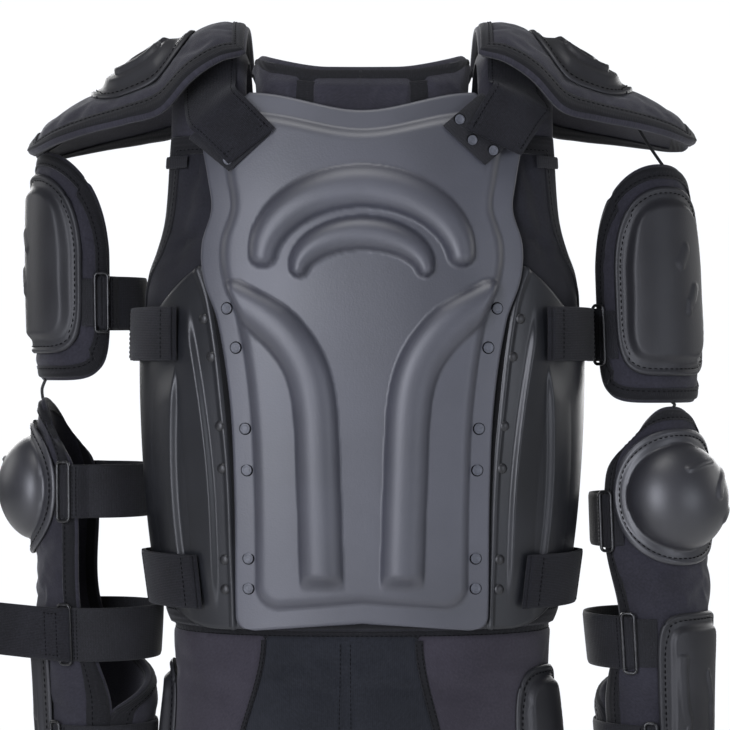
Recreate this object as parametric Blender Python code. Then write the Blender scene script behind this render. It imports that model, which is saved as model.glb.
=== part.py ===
# Riot suit: a padded vest with moulded chest, side and back plates, padded shoulder caps,
# upper arm, elbow and forearm guards, and a hip and groin guard on a waist belt.
# Metres, +Z up, the wearer's front faces -Y, the origin lies between the shoulders.
# A section angle is 0 at the front and grows towards +X.

import math

import bmesh
import bpy
from mathutils import Vector

mm = 0.001
gap = 0.3 * mm                      # clearance between two faces that meet
play = 0.8 * mm                     # clearance between two curved sheets that lie on each other
loose = 1.6 * mm                    # the same where the sheets bend differently

# Torso form: the inner face of the vest and of the hip guard.
torso_length = 505 * mm             # origin down to the vest's hem
chest_half_width = 195 * mm
chest_half_depth = 122 * mm
section_power = 2.5                 # 2 is an ellipse, more is squarer
torso_sections = (                  # shares of torso_length, chest_half_width, chest_half_depth
    # height, width, depth
    (0.00, 0.920, 0.700),
    (0.12, 0.950, 0.840),
    (0.25, 0.975, 0.950),
    (0.42, 0.998, 1.000),
    (0.60, 1.000, 0.985),
    (0.80, 0.970, 0.930),
    (1.00, 0.905, 0.870),
    (1.10, 0.885, 0.875),
    (1.22, 0.905, 0.900),
    (1.36, 0.920, 0.920),
    (1.60, 0.940, 0.930),
)

# Vest, collar and shoulder yokes.
vest_wall = 9 * mm
vest_top = 60 * mm                  # depth of the panels' top edge below the origin
vest_sides = (                      # share of torso_length, edge angle in degrees
    # height, front, back
    (0.119, 73, 73),
    (0.26, 71, 71),
    (0.33, 75, 73),
    (0.38, 84, 78),
    (0.42, 90.5, 81),
    (0.90, 90.5, 81),
    (0.96, 85, 78),
    (1.00, 77, 72),
)
vest_spans = (13, 11)               # facets across the front and the back
vest_edge_share = 0.55              # wall left at the bound edge
neck_half_width = 104 * mm
neck_half_depth = 95 * mm
neck_power = 4.0
collar_wall = 9 * mm
collar_lean = 5 * mm                # its upper edge leans in
collar_front_top = 3 * mm           # depth of the collar's front edge below the origin
collar_side_low = 2 * mm            # height of its lower edge above the shoulders
collar_height = 12 * mm             # at the sides and the back
collar_climb = (44, 60)             # angles between which its lower edge climbs onto the shoulder
collar_rise = (18, 72)              # the same for its upper edge
collar_fall = (124, 138)            # and falls to the back
collar_facets = 24
yoke_inner = 107 * mm               # distance of the yoke's neck edge from the middle
yoke_cover = 0.49552                # share of the shoulder outside the strap that the yoke covers
yoke_wall = 8 * mm
yoke_sink = 16 * mm                 # how far its neck side lies below the cap
strap_turns = (-60, -45, -30, -15, 0, 15, 30, 45, 60, 75)   # where its webbing bends

# Plates.
plate_wall = 4 * mm
chest_top = 42 * mm                 # depth of the neck scoop's middle below the origin
chest_height = 455 * mm             # from there to the lower edge's middle
chest_plate_half = 137 * mm         # half width at the shoulders
chest_outline = (                   # shares of chest_height from the top, and of chest_plate_half
    # height, width
    (-0.04, 0.985),
    (0.03, 1.000),
    (0.13, 0.960),
    (0.19, 0.945),
    (0.26, 0.990),
    (0.33, 0.980),
    (0.41, 0.905),
    (0.57, 0.835),
    (0.75, 0.805),
    (0.955, 0.797),
    (1.03, 0.715),
)
scoop_rise = 17 * mm                # neck corners above the scoop's middle
scoop_half = 98 * mm                # neck corners from the middle
shoulder_fall = 34 * mm             # shoulder corners below the neck corners
hem_drop = 10 * mm                  # lower corners below the lower edge's middle
rim_width = 16 * mm
rim_slope = 7 * mm
field_rise = 7 * mm
ridge_rise = 7 * mm
arc_drop = 134 * mm                 # both arcs' common centre line below chest_top
big_arc_half = 85 * mm
big_arc_height = 67 * mm
big_arc_band = (10.5 * mm, 19 * mm)     # half width at the ends and in the middle
small_arc_half = 57 * mm
small_arc_height = 36 * mm
small_arc_band = (6.5 * mm, 15 * mm)
arc_gap = 10 * mm                   # small arc's centre below the big one's
rib_foot = 36 * mm                  # long ribs at the hem, from the middle
rib_reach = 103 * mm                # long ribs at their outer ends, from the middle
rib_band = 17.5 * mm
rib_top = 171 * mm                  # outer ends below chest_top
rib_low = 424 * mm                  # feet below chest_top
rib_route = (                       # shares of the reach beyond the foot, and of rib_low - rib_top
    # sideways, down
    (1.00, 0.00),
    (0.70, 0.05),
    (0.42, 0.12),
    (0.20, 0.215),
    (0.09, 0.34),
    (0.05, 0.55),
    (0.02, 0.78),
    (0.00, 1.00),
)
side_wall = 3 * mm
side_angles = (45, 84)              # inner and outer edges of a side plate
side_top = (176 * mm, 238 * mm)     # top edge at the inner and the outer side, below the origin
side_low = (505 * mm, 462 * mm)
side_rib_rise = 4.5 * mm
side_ribs = (                       # share across at its top and its foot, bow, top and foot along
    # top, foot, bow, start, end, half width in shares
    (0.37, 0.29, -0.09, 0.08, 0.96, 0.080),
    (0.44, 0.50, 0.05, 0.20, 1.00, 0.080),
)
back_half = 125 * mm
back_top = 95 * mm
back_low = 465 * mm

# Webbing.
webbing = 48 * mm
webbing_wall = 2.4 * mm
anchor_drops = {"left": 36 * mm, "right": 30.5 * mm}    # of the patch's foot below the plate's top
anchor_feet = {                     # middle of the patch's foot: from the middle, below the origin
    "left": (0.686 * chest_plate_half, chest_top + anchor_drops["left"]),
    "right": (0.628 * chest_plate_half, chest_top + anchor_drops["right"]),
}
anchor_length = 44 * mm
anchor_lean = 44                    # degrees from the horizontal
strap_drops = {"left": 31 * mm, "right": 27 * mm}
strap_feet = {
    "left": (0.672 * chest_plate_half, chest_top + strap_drops["left"]),
    "right": (0.796 * chest_plate_half, chest_top + strap_drops["right"]),
}
strap_leans = {"left": 49, "right": 62}
strap_rise = 48 * mm                # length that lies on the chest plate
strap_over = 139 * mm               # where the strap crosses the shoulder
strap_back_low = 125 * mm
side_strap_wall = 2.4 * mm
upper_side_drop = 240 * mm          # middle of the upper side strap below the origin
lower_side_rise = 41 * mm           # middle of the lower one above the vest's hem
side_straps = (                     # middle below the origin, angles of its ends
    # name, drop, front end, back end, share of the vest's wall left under the back end
    ("upper", upper_side_drop, 61, 112, 0.72),
    ("lower", torso_length - lower_side_rise, 59, 112, 0.80),
)

# Shoulder caps, seen from the neck out to the tip.
cap_start = 108 * mm
cap_room = 1.2 * mm                 # height of its inner face over the webbing
cap_length = 200 * mm
cap_wall = 12 * mm
cap_ridge = 42 * mm                 # height of its inner face at the neck end
cap_half_depth = 108 * mm
cap_drop = 66 * mm
cap_power = 2.2
cap_swing = 22 * mm                 # how far the tip sits back of the neck end
cap_lift = {"left": 8 * mm, "right": 17 * mm}   # how far the tip is pushed up
cap_sections = (                    # shares of cap_length, cap_ridge, cap_half_depth, cap_drop
    # along, ridge, depth, drop
    (0.00, 1.00, 0.80, 0.46),
    (0.10, 0.95, 0.94, 0.54),
    (0.22, 0.70, 1.00, 0.64),
    (0.35, 0.24, 1.00, 0.78),
    (0.52, -0.30, 0.92, 0.60),
    (0.70, -0.76, 0.80, 0.44),
    (0.85, -1.20, 0.64, 0.30),
    (0.94, -1.52, 0.46, 0.20),
    (1.00, -1.76, 0.26, 0.10),
)
shell_wall = 3 * mm
cap_shell_along = (0.21, 0.69)
cap_shell_share = 0.78
cap_shell_rise = 8 * mm
cap_rib_rise = 5 * mm

# Arms: straight middle lines with a slight swing to the front.
arm_top = 60 * mm                   # below the origin
arm_length = 600 * mm
arm_lines = {                       # sideways at the top and at the wrist
    "left": (257 * mm, 247 * mm),
    "right": (257 * mm, 275 * mm),
}
arm_swing = (50 * mm, 12 * mm)      # behind the middle at the top and at the wrist
arm_radius = 47 * mm
arm_girths = (                      # shares of arm_length and arm_radius
    # along, radius
    (0.00, 1.00),
    (0.35, 1.00),
    (0.54, 1.05),
    (0.72, 1.03),
    (0.85, 0.93),
    (1.00, 0.84),
)
pad_wall = 10 * mm
upper_pad_drop = {"left": 9 * mm,  "right": 22 * mm}    # below arm_top
upper_pad_height = {"left": 211 * mm, "right": 219 * mm}
upper_pad_angle = 79
upper_shell_angle = 53
upper_shell_inset = (20 * mm, 24 * mm)      # from the pad's top and lower edges
upper_shell_rise = 7 * mm
upper_turn = {"left": 61, "right": 29}      # outwards from the front
upper_strap_drop = {"left": 141 * mm, "right": 158 * mm}   # middle of the strap below the pad's top
elbow_turn = {"left": 95, "right": 30}
lower_pad_top = {"left": 242 * mm, "right": 250 * mm}   # below arm_top
lower_pad_low = 596 * mm
lower_pad_angle = 77
lower_pad_edges = (                 # share of the pad's height, angles of its two edges
    # height, inner, outer
    (0.00, 42, -42),
    (0.06, 60, -60),
    (0.16, 72, -72),
    (0.27, 77, -77),
    (0.56, 79, -79),
    (0.68, 96, -118),
    (0.77, 109, -205),
    (0.82, 112, -246),
    (1.00, 112, -246),
)
cup_drop = {"left": 324 * mm, "right": 331 * mm}        # middle of the cup below arm_top
cup_half_height = 62 * mm
cup_angle = 61
cup_rise = 31 * mm
cup_rim_share = 0.80
forearm_turn = {"left": 95, "right": 47}
forearm_shell_top = 440 * mm
forearm_shell_height = 140 * mm
forearm_shell_angle = 44
elbow_strap_drop = {"left": 326 * mm, "right": 354 * mm}
forearm_strap_drop = {"left": 458 * mm, "right": 466 * mm}
wrist_strap_drop = 567 * mm
arm_strap_wall = 2.4 * mm
arm_strap_width = 48 * mm
strap_lap = 13                      # angle that a strap lies on a pad
upper_seat = 0.77 * pad_wall + gap  # height of a strap over the arm where it lies on a pad's edge
elbow_seat = 0.88 * pad_wall + gap
sleeve_seat = pad_wall + play       # the same where it lies on the forearm's sleeve
ride_angle = 16                     # angle in which it climbs from the arm onto the pad
ring_lap = 7                        # angle from the pad's edge to a ring's middle
ring_wire = 1.5 * mm                # radius
wire_sides = 4
ring_margin = 3.5 * mm              # ring beyond the webbing at each side
ring_width = 12 * mm
ring_corner = 3.5 * mm              # radius of its corners
free_end_lap = 6                    # angle at each side of the ring that the free end covers
free_end_length = 82 * mm           # straight part beside the arm
free_end_rise = 0.03                # share of its length that it climbs
cord_radius = 1.5 * mm
cord_end = 0.72                     # share of cap_length where the cord meets the cap

# Hip guard.
belt_height = 30 * mm
belt_wall = 5 * mm
belt_play = 0.9 * mm                # belt inside the vest's inner face
belt_lap = 20 * mm                  # belt inside the vest's hem
hip_turn = 8                        # degrees, how far the guard sits round to the wearer's right
panel_wall = 8 * mm
groin_angle = 41                    # half angle at its widest
groin_waist = 0.19                  # share of it that is missing under the belt
groin_length = 205 * mm
thigh_angle = 96
thigh_length = 290 * mm
hip_shell_angles = (68, 94)
hip_shell_drop = 30 * mm            # below the belt
hip_shell_height = 175 * mm
hip_shell_rise = 8 * mm


def clear_scene():
    for thing in list(bpy.data.objects):
        bpy.data.objects.remove(thing, do_unlink=True)


def make_material(name, colour, roughness, metallic=0.0):
    material = bpy.data.materials.new(name)
    material.use_nodes = True
    shader = material.node_tree.nodes["Principled BSDF"]
    shader.inputs["Base Color"].default_value = (*colour, 1.0)
    shader.inputs["Roughness"].default_value = roughness
    shader.inputs["Metallic"].default_value = metallic
    return material


def look_up(table, x, column):
    """A smooth value between the rows of a table whose first column rises."""
    if x <= table[0][0]:
        return table[0][column]
    for i in range(len(table) - 1):
        x0, x1 = table[i][0], table[i + 1][0]
        if x <= x1:
            before = table[max(i - 1, 0)]
            after = table[min(i + 2, len(table) - 1)]
            y0, y1 = table[i][column], table[i + 1][column]
            span = x1 - x0
            slope0 = (y1 - before[column]) / (x1 - before[0])
            slope1 = (after[column] - y0) / (after[0] - x0)
            t = (x - x0) / span
            return (y0 * (2 * t ** 3 - 3 * t ** 2 + 1) + slope0 * span * (t ** 3 - 2 * t ** 2 + t)
                    + y1 * (3 * t ** 2 - 2 * t ** 3) + slope1 * span * (t ** 3 - t ** 2))
    return table[-1][column]


def ease(x, start, end):
    t = min(max((x - start) / (end - start), 0.0), 1.0)
    return t * t * (3 - 2 * t)


def signed_power(value, power):
    return math.copysign(abs(value) ** power, value)


def rounded(a, b, power):
    """Move a point of the square -1..1 so that its edge becomes a rounded outline."""
    reach = max(abs(a), abs(b))
    if reach == 0:
        return 0.0, 0.0
    p, q = a / reach, b / reach
    scale = (abs(p) ** power + abs(q) ** power) ** (-1 / power)
    return a * scale, b * scale


def squared_oval(angle, half_width, half_depth, power):
    """Sideways and forward distances at an angle in degrees from the front."""
    side, front = math.sin(math.radians(angle)), math.cos(math.radians(angle))
    reach = (abs(side / half_width) ** power + abs(front / half_depth) ** power) ** (-1 / power)
    return reach * side, reach * front


def torso_point(angle, z, off):
    """A point of the torso form at a section angle in degrees, moved out sideways by off."""
    share = -z / torso_length
    half_width = chest_half_width * look_up(torso_sections, share, 1)
    half_depth = chest_half_depth * look_up(torso_sections, share, 2)
    across, along = squared_oval(angle, half_width, half_depth, section_power)
    nx = signed_power(across / half_width, section_power - 1) / half_width
    ny = signed_power(along / half_depth, section_power - 1) / half_depth
    length = math.hypot(nx, ny)
    return Vector((across + off * nx / length, -along - off * ny / length, z))


def torso_front(x, z, off):
    """A point on the torso's front at a distance x from the middle, moved out by off."""
    half_width = chest_half_width * look_up(torso_sections, -z / torso_length, 1)
    half_depth = chest_half_depth * look_up(torso_sections, -z / torso_length, 2)
    along = half_depth * (1 - abs(x / half_width) ** section_power) ** (1 / section_power)
    return torso_point(math.degrees(math.atan2(x, along)), z, off)


def finish_object(name, mesh_data, material, smooth_angle=35):
    mesh_data.normal_update()
    bmesh.ops.recalc_face_normals(mesh_data, faces=mesh_data.faces)
    mesh = bpy.data.meshes.new(name)
    mesh_data.to_mesh(mesh)
    mesh_data.free()
    mesh.materials.append(material)
    mesh.shade_smooth()
    mesh.set_sharp_from_angle(angle=math.radians(smooth_angle))
    thing = bpy.data.objects.new(name, mesh)
    bpy.context.scene.collection.objects.link(thing)
    return thing


def patch(name, surface, columns, rows, wall, material, ring=False):
    """A closed wall over a grid. surface(a, b, off) takes a across -1..1 and b along -1..1,
    wall(a, b) gives its inner and outer offsets, ring joins the two sides."""
    data = bmesh.new()
    count = len(columns)
    layers = []
    for layer in (0, 1):
        grid = []
        for b in rows:
            grid.append([data.verts.new(surface(a, b, wall(a, b)[layer])) for a in columns])
        layers.append(grid)
    inner, outer = layers
    spans = count if ring else count - 1
    for j in range(len(rows) - 1):
        for i in range(spans):
            k = (i + 1) % count
            for grid in layers:
                data.faces.new((grid[j][i], grid[j][k], grid[j + 1][k], grid[j + 1][i]))
    for j in (0, len(rows) - 1):
        for i in range(spans):
            k = (i + 1) % count
            data.faces.new((inner[j][i], inner[j][k], outer[j][k], outer[j][i]))
    if not ring:
        for i in (0, count - 1):
            for j in range(len(rows) - 1):
                data.faces.new((inner[j][i], inner[j + 1][i], outer[j + 1][i], outer[j][i]))
    return finish_object(name, data, material)


def steps(count, start=-1.0, end=1.0):
    return [start + (end - start) * i / count for i in range(count + 1)]


def plain_wall(inner, thick):
    return lambda a, b: (inner, inner + thick)


def pad_offsets(inner, thick, edge_share, fall=6):
    """A padded wall that thins towards its bound edge."""
    def wall(a, b):
        body = 1 - max(abs(a), abs(b)) ** fall
        return inner, inner + thick * (edge_share + (1 - edge_share) * body)
    return wall


def sweep(name, sections, material):
    """A closed solid through rings of points."""
    data = bmesh.new()
    rings = [[data.verts.new(point) for point in section] for section in sections]
    count = len(rings[0])
    for first, second in zip(rings, rings[1:]):
        for i in range(count):
            k = (i + 1) % count
            data.faces.new((first[i], first[k], second[k], second[i]))
    data.faces.new(rings[0])
    data.faces.new(rings[-1])
    return finish_object(name, data, material)


def smooth_route(points, count):
    """Evenly numbered points on a smooth curve through the given ones."""
    result = []
    last = len(points) - 1
    for n in range(count + 1):
        t = last * n / count
        i = min(int(t), last - 1)
        f = t - i
        p0, p1 = points[max(i - 1, 0)], points[i]
        p2, p3 = points[i + 1], points[min(i + 2, last)]
        result.append(0.5 * (2 * p1 + (p2 - p0) * f + (2 * p0 - 5 * p1 + 4 * p2 - p3) * f ** 2
                             + (3 * p1 - p0 - 3 * p2 + p3) * f ** 3))
    return result


def make_vest(material):
    low, top = -torso_length, -vest_top

    def edge_wall(a, b):
        body = 1 - max(abs(a), abs(b)) ** 8
        return 0.0, vest_wall * (vest_edge_share + (1 - vest_edge_share) * body)

    def front(a, b, off):
        z = low + (top - low) * (b + 1) / 2
        return torso_point(a * look_up(vest_sides, -z / torso_length, 1), z, off)

    def back(a, b, off):
        z = low + (top - low) * (b + 1) / 2
        return torso_point(180 + a * look_up(vest_sides, -z / torso_length, 2), z, off)

    lap = -1 + 2 * belt_lap / (top - low)
    patch("vest_front", front, steps(vest_spans[0]), [-1] + steps(7, lap), edge_wall, material)
    patch("vest_back", back, steps(vest_spans[1]), [-1] + steps(5, lap), edge_wall, material)


def collar_edges(angle):
    """Lower and upper height of the collar at an angle, 0 at the front."""
    turn = abs((angle + 180) % 360 - 180)
    front = 1 - ease(turn, *collar_climb)
    back = ease(turn, *collar_fall)
    low = front * (-vest_top + gap) + back * (-vest_top + gap) + (1 - front - back) * collar_side_low
    level = 1 - ease(turn, *collar_rise)
    top = level * -collar_front_top + (1 - level) * (collar_side_low + collar_height)
    return low, top


def make_collar(material):
    columns = [i / collar_facets for i in range(collar_facets)]

    def surface(a, b, off):
        angle = 360 * a
        low, top = collar_edges(angle)
        z = low + (top - low) * (b + 1) / 2
        inset = collar_lean * (b + 1) / 2 - off
        across, along = squared_oval(angle, neck_half_width - collar_wall - inset,
                                     neck_half_depth - inset, neck_power)
        return Vector((across, -along, z))

    patch("collar", surface, columns, steps(2), plain_wall(0, collar_wall), material, ring=True)


def cap_inner_top(x):
    return cap_ridge * look_up(cap_sections, (x - cap_start) / cap_length, 1)


def yoke_arc(x, turn, off):
    """The shoulder's arch at a distance x from the middle: turn is -90 at the front edge."""
    depth = abs(torso_front(x, -vest_top, 0.0).y)
    height = cap_inner_top(x) + vest_top - yoke_wall - webbing_wall - play - cap_room
    height -= yoke_sink * (1 - ease(x, yoke_inner, strap_over - webbing / 2))
    return Vector((x, (depth + off) * math.sin(math.radians(turn)),
                   -vest_top + gap + (height + off) * math.cos(math.radians(turn))))


def make_yokes(side, sign, material):
    def surface(x, turn, off):
        point = yoke_arc(x, turn, off)
        return Vector((sign * point.x, point.y, point.z))

    shoulder_half = chest_half_width * look_up(torso_sections, vest_top / torso_length, 1)
    strap_edge = strap_over + webbing / 2
    yoke_outer = strap_edge + yoke_cover * (shoulder_half - strap_edge)
    columns = [yoke_inner] + [strap_over + a * webbing / 2 for a in steps(2)] + [yoke_outer]
    rows = [-90, -75] + list(strap_turns) + [90]
    patch("yoke_" + side, surface, columns, rows, plain_wall(0, yoke_wall), material)


def chest_half(height_share):
    return chest_plate_half * look_up(chest_outline, height_share, 1)


def chest_edges(x):
    """Top and lower heights of the chest plate at a distance x from the middle."""
    reach = abs(x)
    rise = scoop_rise * ease(reach, 0, scoop_half)
    fall = shoulder_fall * max(reach - scoop_half, 0) / (chest_plate_half - scoop_half)
    low_half = chest_half(1.0)
    drop = hem_drop * min(reach / low_half, 1.0)
    return -chest_top + rise - fall, -chest_top - chest_height - drop


def chest_surface(a, b, off):
    """The chest plate's sheet: a across, b down from 0 at the top edge to 1 at the hem."""
    x = a * chest_half(b)
    for _ in range(3):
        top, low = chest_edges(x)
        z = top + (low - top) * b
        x = a * chest_half((-chest_top - z) / chest_height)
    return torso_front(x, z, off)


def chest_base():
    return vest_wall + side_wall + 2 * play


def make_ridge(name, route, widths, base, rise, material):
    """A long raised lens on the chest: route of (x, z), one half width for each point."""
    profile = ((-1.0, -0.30), (-0.97, 0.10), (-0.55, 0.92),
               (0.55, 0.92), (0.97, 0.10), (1.0, -0.30))
    sections = []
    for i, (x, z) in enumerate(route):
        x0, z0 = route[max(i - 1, 0)]
        x1, z1 = route[min(i + 1, len(route) - 1)]
        length = math.hypot(x1 - x0, z1 - z0)
        side_x, side_z = -(z1 - z0) / length, (x1 - x0) / length
        half = widths[i]
        sections.append([torso_front(x + side_x * half * p, z + side_z * half * p, base + rise * q)
                         for p, q in profile])
    return sweep(name, sections, material)


def arc_route(half, height, centre_drop, band, count=12):
    """An arch with round ends: the route and its half widths."""
    route, widths = [], []
    reach = 0.17
    for i in range(count + 1):
        t = i / count
        angle = math.pi * (1 - t)
        route.append((half * math.cos(angle), -chest_top - centre_drop + height * math.sin(angle)))
        width = band[0] + (band[1] - band[0]) * math.sin(angle) ** 0.8
        end = min(t, 1 - t) / reach
        if end < 0.4:
            width *= 0.35 + 0.65 * math.sqrt(max(1 - (1 - end / 0.4) ** 2, 0.0))
        widths.append(width)
    return route, widths


def rib_line(sign, count=9):
    """A long rib from its outer end at the plate's side down to the hem."""
    points = [Vector((sign * (rib_foot + (rib_reach - rib_foot) * out),
                      -chest_top - rib_top - (rib_low - rib_top) * down, 0))
              for out, down in rib_route]
    line = smooth_route(points, count)
    widths = [rib_band] * (count + 1)
    widths[0] = 0.62 * rib_band
    widths[-1] = 0.90 * rib_band
    return [(point.x, point.y) for point in line], widths


def make_chest_plate(material):
    half = chest_plate_half
    rim = rim_width / half
    slope = (rim_width + rim_slope) / half
    columns = [-1, -1 + rim, -1 + slope] + steps(7, -1 + slope, 1 - slope)[1:-1]
    columns += [1 - slope, 1 - rim, 1]
    tall = rim_width / chest_height
    tall_slope = (rim_width + rim_slope) / chest_height
    rows = [0, tall, tall_slope] + steps(11, tall_slope, 1 - tall_slope)[1:-1]
    rows += [1 - tall_slope, 1 - tall, 1]
    base = chest_base()

    def wall(a, b):
        edge = min((1 - abs(a)) * half, min(b, 1 - b) * chest_height)
        raised = field_rise * min(max((edge - rim_width) / rim_slope, 0.0), 1.0)
        return base + raised, base + raised + plate_wall

    plate = patch("chest_plate", chest_surface, columns, rows, wall, material)
    field = base + plate_wall + field_rise
    ridges = [arc_route(big_arc_half, big_arc_height, arc_drop, big_arc_band),
              arc_route(small_arc_half, small_arc_height, arc_drop + arc_gap, small_arc_band, 10),
              rib_line(-1), rib_line(1)]
    for number, (route, widths) in enumerate(ridges):
        ridge = make_ridge("ridge_" + str(number), route, widths, field, ridge_rise, material)
        ridge.hide_render = True
        ridge.display_type = "WIRE"
        joint = plate.modifiers.new("ridge", "BOOLEAN")
        joint.operation = "UNION"
        joint.solver = "EXACT"
        joint.object = ridge


def make_side_plate(side, sign, material):
    def surface(a, b, off):
        across = (a + 1) / 2
        angle = side_angles[0] + (side_angles[1] - side_angles[0]) * across
        top = side_top[0] + (side_top[1] - side_top[0]) * ease(across, 0.15, 0.9)
        low = side_low[0] + (side_low[1] - side_low[0]) * ease(across, 0.25, 1.0) ** 1.5
        point = torso_point(angle, -(top + (low - top) * b), off)
        return Vector((sign * point.x, point.y, point.z))

    def wall(a, b):
        across = (a + 1) / 2
        inner = vest_wall + play
        height = 0.0
        for top, foot, bow, start, end, half in side_ribs:
            along = (b - start) / (end - start)
            if 0 <= along <= 1:
                middle = top + (foot - top) * along + bow * math.sin(math.pi * along)
                near = max(1 - abs(across - middle) / half, 0.0)
                fade = min(along, 1 - along) / 0.12
                height = max(height, side_rib_rise * min(near * 1.6, 1.0) * min(fade, 1.0))
        return inner, inner + side_wall + height

    patch("side_plate_" + side, surface, steps(10), steps(7, 0.0, 1.0), wall, material)


def make_back_plate(material):
    def surface(a, b, off):
        p, q = rounded(a, b, 5)
        z = -(back_top + back_low) / 2 + q * (back_low - back_top) / 2
        point = torso_front(p * back_half, z, off)
        return Vector((point.x, -point.y, point.z))

    patch("back_plate", surface, steps(6), steps(6), plain_wall(vest_wall + loose, plate_wall), material)


def webbing_box(side_name, foot, length, lean, sign, base, wall, material):
    """A straight piece of webbing on the chest, leaning outwards as it rises."""
    dx, dz = math.cos(math.radians(lean)), math.sin(math.radians(lean))

    def surface(a, b, off):
        along = length * (b + 1) / 2
        x = foot[0] + dx * along + dz * a * webbing / 2
        z = -foot[1] + dz * along - dx * a * webbing / 2
        point = torso_front(x, z, off)
        return Vector((sign * point.x, point.y, point.z))

    patch(side_name, surface, steps(2), steps(3), plain_wall(base, wall), material)


def make_shoulder_webbing(side, sign, material):
    field = chest_base() + plate_wall + field_rise + play
    webbing_box("strap_anchor_" + side, anchor_feet[side], anchor_length, anchor_lean, sign,
                field, webbing_wall, material)
    over = field + webbing_wall + play
    lean = math.radians(strap_leans[side])
    dx, dz = math.cos(lean), math.sin(lean)
    foot = strap_feet[side]

    def line(a, off):
        aside = a * webbing / 2
        points = []
        for share in (0.0, 0.35, 0.70, 1.0):
            along = share * strap_rise
            points.append(torso_front(foot[0] + dx * along + dz * aside,
                                      -foot[1] + dz * along - dx * aside, over + off))
        points += [yoke_arc(strap_over + aside, turn, yoke_wall + play + off) for turn in strap_turns]
        back = torso_front(strap_over + aside, -strap_back_low, vest_wall + loose + off)
        return points + [Vector((back.x, -back.y, back.z))]

    def surface(a, b, off):
        point = line(a, off)[b]
        return Vector((sign * point.x, point.y, point.z))

    patch("shoulder_strap_" + side, surface, steps(2), range(len(line(0, 0))),
          plain_wall(0, webbing_wall), material)


def make_side_straps(side, sign, material):
    base = vest_wall + side_wall + side_rib_rise + 2 * play
    for name, drop, front_end, back_end, seat in side_straps:
        def surface(angle, b, off):
            point = torso_point(angle, -drop + b * webbing / 2, off)
            return Vector((sign * point.x, point.y, point.z))

        def wall(angle, b):
            off_plate = ease(angle, side_angles[1] + 1, side_angles[1] + 10)
            ride = base * (1 - off_plate) + (seat * vest_wall + gap) * off_plate
            return ride, ride + side_strap_wall

        patch("side_strap_" + name + "_" + side, surface, steps(8, front_end, back_end), steps(1),
              wall, material)


def cap_point(side, along, across, off):
    """The cap's inner face: along from the neck end, across -1 at the front edge."""
    def base(s, v):
        x = cap_start + cap_length * s
        y = cap_half_depth * look_up(cap_sections, s, 2) * v + cap_swing * s
        z = cap_ridge * look_up(cap_sections, s, 1) + cap_lift[side] * s ** 2
        z -= cap_drop * look_up(cap_sections, s, 3) * abs(v) ** cap_power
        return Vector((x, y, z))

    eps = 0.004
    ds = base(min(along + eps, 1.0), across) - base(max(along - eps, 0.0), across)
    dv = base(along, across + eps) - base(along, across - eps)
    normal = ds.cross(dv).normalized()
    return base(along, across) + normal * off


def make_cap(side, sign, pad_material, shell_material):
    def surface(a, b, off):
        point = cap_point(side, (b + 1) / 2, a, off)
        return Vector((sign * point.x, point.y, point.z))

    over_strap = [(strap_over + a * webbing / 2 - cap_start) / cap_length for a in steps(2)]
    outwards = [row[0] for row in cap_sections if row[0] > over_strap[-1] + 0.05]
    rows = [2 * along - 1 for along in [0.0] + over_strap + outwards]
    patch("shoulder_cap_" + side, surface, steps(8), rows,
          pad_offsets(0.0, cap_wall, 0.6), pad_material)

    def shell_surface(a, b, off):
        p, q = rounded(a, b, 3.2)
        along = cap_shell_along[0] + (cap_shell_along[1] - cap_shell_along[0]) * (q + 1) / 2
        point = cap_point(side, along, p * cap_shell_share, off)
        return Vector((sign * point.x, point.y, point.z))

    def shell_wall_of(a, b):
        inner = cap_wall + loose
        reach = max(abs(a), abs(b))
        dome = cap_shell_rise * (1 - ease(reach, 0.45, 0.88))
        rib = cap_rib_rise * (1 - ease(abs(abs(a) - 0.5), 0.06, 0.16)) * (1 - ease(abs(b), 0.4, 0.66))
        return inner, inner + shell_wall + dome + rib

    patch("shoulder_shell_" + side, shell_surface, steps(8), steps(6), shell_wall_of, shell_material)


def arm_centre(side, sign, z):
    share = (-z - arm_top) / arm_length
    line = arm_lines[side]
    return Vector((sign * (line[0] + (line[1] - line[0]) * share),
                   arm_swing[0] + (arm_swing[1] - arm_swing[0]) * share, z))


def arm_point(side, sign, turn, z, off):
    """A point round the arm: turn in degrees outwards from the front, off from the arm's face."""
    share = (-z - arm_top) / arm_length
    radius = arm_radius * look_up(arm_girths, share, 1) + off
    angle = math.radians(turn)
    return arm_centre(side, sign, z) + Vector((sign * radius * math.sin(angle),
                                               -radius * math.cos(angle), 0))


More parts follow.
